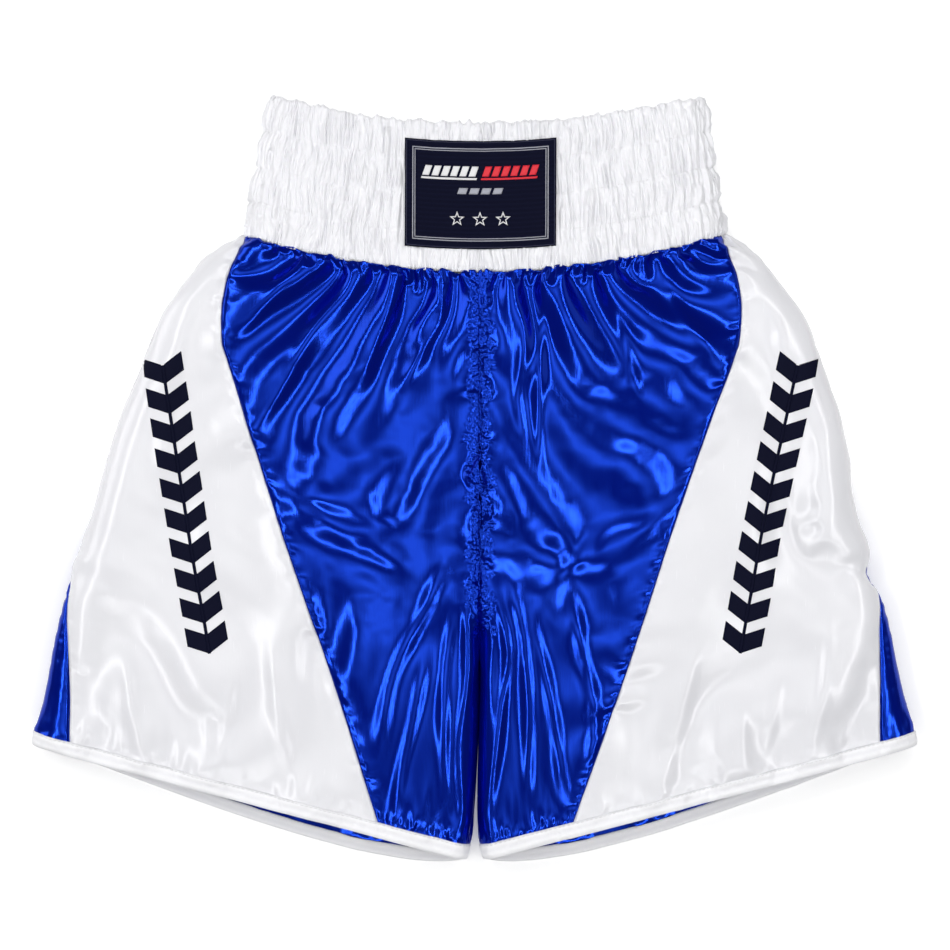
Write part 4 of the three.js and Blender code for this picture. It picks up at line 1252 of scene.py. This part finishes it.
column_down = (PRINT_FOOT - PRINT_TOP) / np.linalg.norm(PRINT_FOOT - PRINT_TOP)
column_across = np.array([-column_down[1], column_down[0]])
film = satin("navy_film", (0.0030, 0.0036, 0.014), (0.0046, 0.0056, 0.020), 0.55, 1.12, WHITE_GLINT)
for side, leg in legs.items():
    patches = []
    for n in range(CHEVRONS):
        for arm in (-1, 1):
            f, g = np.meshgrid(np.linspace(0, 1, 16), np.linspace(0, 1, 10))
            a = arm * (SPINE + (CHEVRON_HALF - SPINE) * f)
            b = n * CHEVRON_PITCH + CHEVRON_POINT * (1 - np.abs(a) / CHEVRON_HALF) + CHEVRON_BAND * g
            patches.append(film_patch(leg, a[:, ::arm], b[:, ::arm]))
    spine_end = CHEVRON_PITCH * (CHEVRONS - 1) + CHEVRON_POINT + CHEVRON_BAND
    f, g = np.meshgrid(np.linspace(-SPINE, SPINE, 3), np.linspace(CHEVRON_POINT, spine_end, 130))
    patches.append(film_patch(leg, f, g))
    piece = joined("side_print_%s_film" % side, patches, FILM_THICK, leg["mirror"])
    placed(piece, film, "side_print_" + side)
    panel = cloth["side_panel_" + side]


# ==== Floor and light ====
# A plain pale floor, which brightens away from the shorts and runs into a pale room. Four narrow softboxes
# round the shorts give the satin its thin bright streaks. Two wide ones shine in from the sides and three dim
# ones hang overhead.
FLOOR_REACH = 40
FLOOR_GLOW = [("From Min", 0.7), ("From Max", 3.2), ("To Min", 0.24), ("To Max", 0.93)]
ROOM_LIGHT, ROOM_SEEN = 0.10, 0.93
floor_mesh = bpy.data.meshes.new("floor")
corners = [(x * FLOOR_REACH, y * FLOOR_REACH, 0) for x, y in ((-1, -1), (1, -1), (1, 1), (-1, 1))]
floor_mesh.from_pydata(corners, [], [(0, 1, 2, 3)])
floor = bpy.data.objects.new("floor", floor_mesh)
bpy.context.scene.collection.objects.link(floor)
pale, nodes, links, shader = node_material("pale_floor")
shader.inputs["Base Color"].default_value = (0.9, 0.9, 0.9, 1)
shader.inputs["Roughness"].default_value = 0.9
shader.inputs["Specular IOR Level"].default_value = 0.0
shader.inputs["Emission Color"].default_value = (1, 1, 1, 1)
where = nodes.new("ShaderNodeTexCoord")
away = nodes.new("ShaderNodeVectorMath")
away.operation = "LENGTH"
links.new(where.outputs["Object"], away.inputs[0])
glow = nodes.new("ShaderNodeMapRange")
glow.interpolation_type = "SMOOTHSTEP"
for socket, value in FLOOR_GLOW:
    glow.inputs[socket].default_value = value
links.new(away.outputs["Value"], glow.inputs["Value"])
links.new(glow.outputs["Result"], shader.inputs["Emission Strength"])
floor_mesh.materials.append(pale)
floor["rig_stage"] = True
world = bpy.data.worlds.new("room")
world.use_nodes = True
nodes, links = world.node_tree.nodes, world.node_tree.links
room_dark = nodes["Background"]
room_dark.inputs["Color"].default_value = (1, 1, 1, 1)
room_dark.inputs["Strength"].default_value = ROOM_LIGHT
room_pale = add_node(nodes, "Background", Strength=ROOM_SEEN)
seen, either = nodes.new("ShaderNodeLightPath"), nodes.new("ShaderNodeMixShader")
links.new(seen.outputs["Is Camera Ray"], either.inputs["Fac"])
links.new(room_dark.outputs["Background"], either.inputs[1])
links.new(room_pale.outputs["Background"], either.inputs[2])
links.new(either.outputs["Shader"], nodes["World Output"].inputs["Surface"])
bpy.context.scene.world = world
# Each softbox: its place, its width and height in metres, and its watts. All of them face the shorts.
SOFTBOXES = [
    ((-0.88, 0, 1.55), 1.6, 0.11, 9),
    ((0.88, 0, 1.55), 1.6, 0.11, 9),
    ((0, 0.95, 1.5), 1.5, 0.11, 8),
    ((0, -0.95, 1.5), 1.5, 0.11, 6),
    ((-2.2, 0.8, 1.0), 1.2, 1.2, 14),
    ((2.2, 0.8, 1.0), 1.2, 1.2, 3),
    ((0.05, 0.1, 2.4), 0.5, 0.5, 1.0),
    ((0.05, 0.1, 2.45), 1.0, 1.0, 2.5),
    ((0.05, 0.1, 2.5), 1.5, 1.5, 3.5),
]
for number, (place, wide, tall, watts) in enumerate(SOFTBOXES):
    light = bpy.data.lights.new("softbox_%d" % number, "AREA")
    light.shape = "RECTANGLE"
    light.size, light.size_y, light.energy = wide, tall, watts
    lamp = bpy.data.objects.new("softbox_%d" % number, light)
    bpy.context.scene.collection.objects.link(lamp)
    lamp.location = place
    lamp.rotation_euler = (-Vector(place)).to_track_quat("-Z", "Y").to_euler()
bpy.context.scene.view_settings.view_transform = "Standard"

# The shorts don't lie quite straight: the seams in the middle, and the two sides of the waist still more,
# lie a little to one side of the hems. Everything presses flat where it meets the floor.
MIDDLE_LEAN, SIDE_LEAN = 3.7 * MM, 10.2 * MM
LEAN_HALF = 0.18  # how far out from the middle the side lean takes over
MIDDLE_FROM, MIDDLE_TO = -0.44, -0.29  # from no lean to the full one, measured up from the waist seam
SIDE_FROM, SIDE_OVER, SIDE_CURVE = 0.205, 0.333, 1.1
PRESSED, FLOOR_GAP = 1.8 * MM, 0.8 * MM
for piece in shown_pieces():
    if "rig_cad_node" in piece:
        continue
    mesh = piece.data
    at = np.empty(len(mesh.vertices) * 3)
    mesh.vertices.foreach_get("co", at)
    at = at.reshape(-1, 3)
    up = at[:, 1] - SEAM_Y * MM
    to_side = np.clip(np.abs(at[:, 0]) / LEAN_HALF, 0, 1) ** 2
    at[:, 0] += MIDDLE_LEAN * eased(MIDDLE_FROM, MIDDLE_TO, up) * (1 - to_side)
    at[:, 0] += SIDE_LEAN * np.clip((up + SIDE_FROM) / SIDE_OVER, 0, SIDE_CURVE) ** SIDE_CURVE * to_side
    pressed = FLOOR_GAP + (PRESSED - FLOOR_GAP) * np.exp(np.minimum(at[:, 2] / PRESSED - 1, 0))
    at[:, 2] = np.where(at[:, 2] < PRESSED, pressed, at[:, 2])
    mesh.vertices.foreach_set("co", at.ravel())
    mesh.update()

low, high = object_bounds()
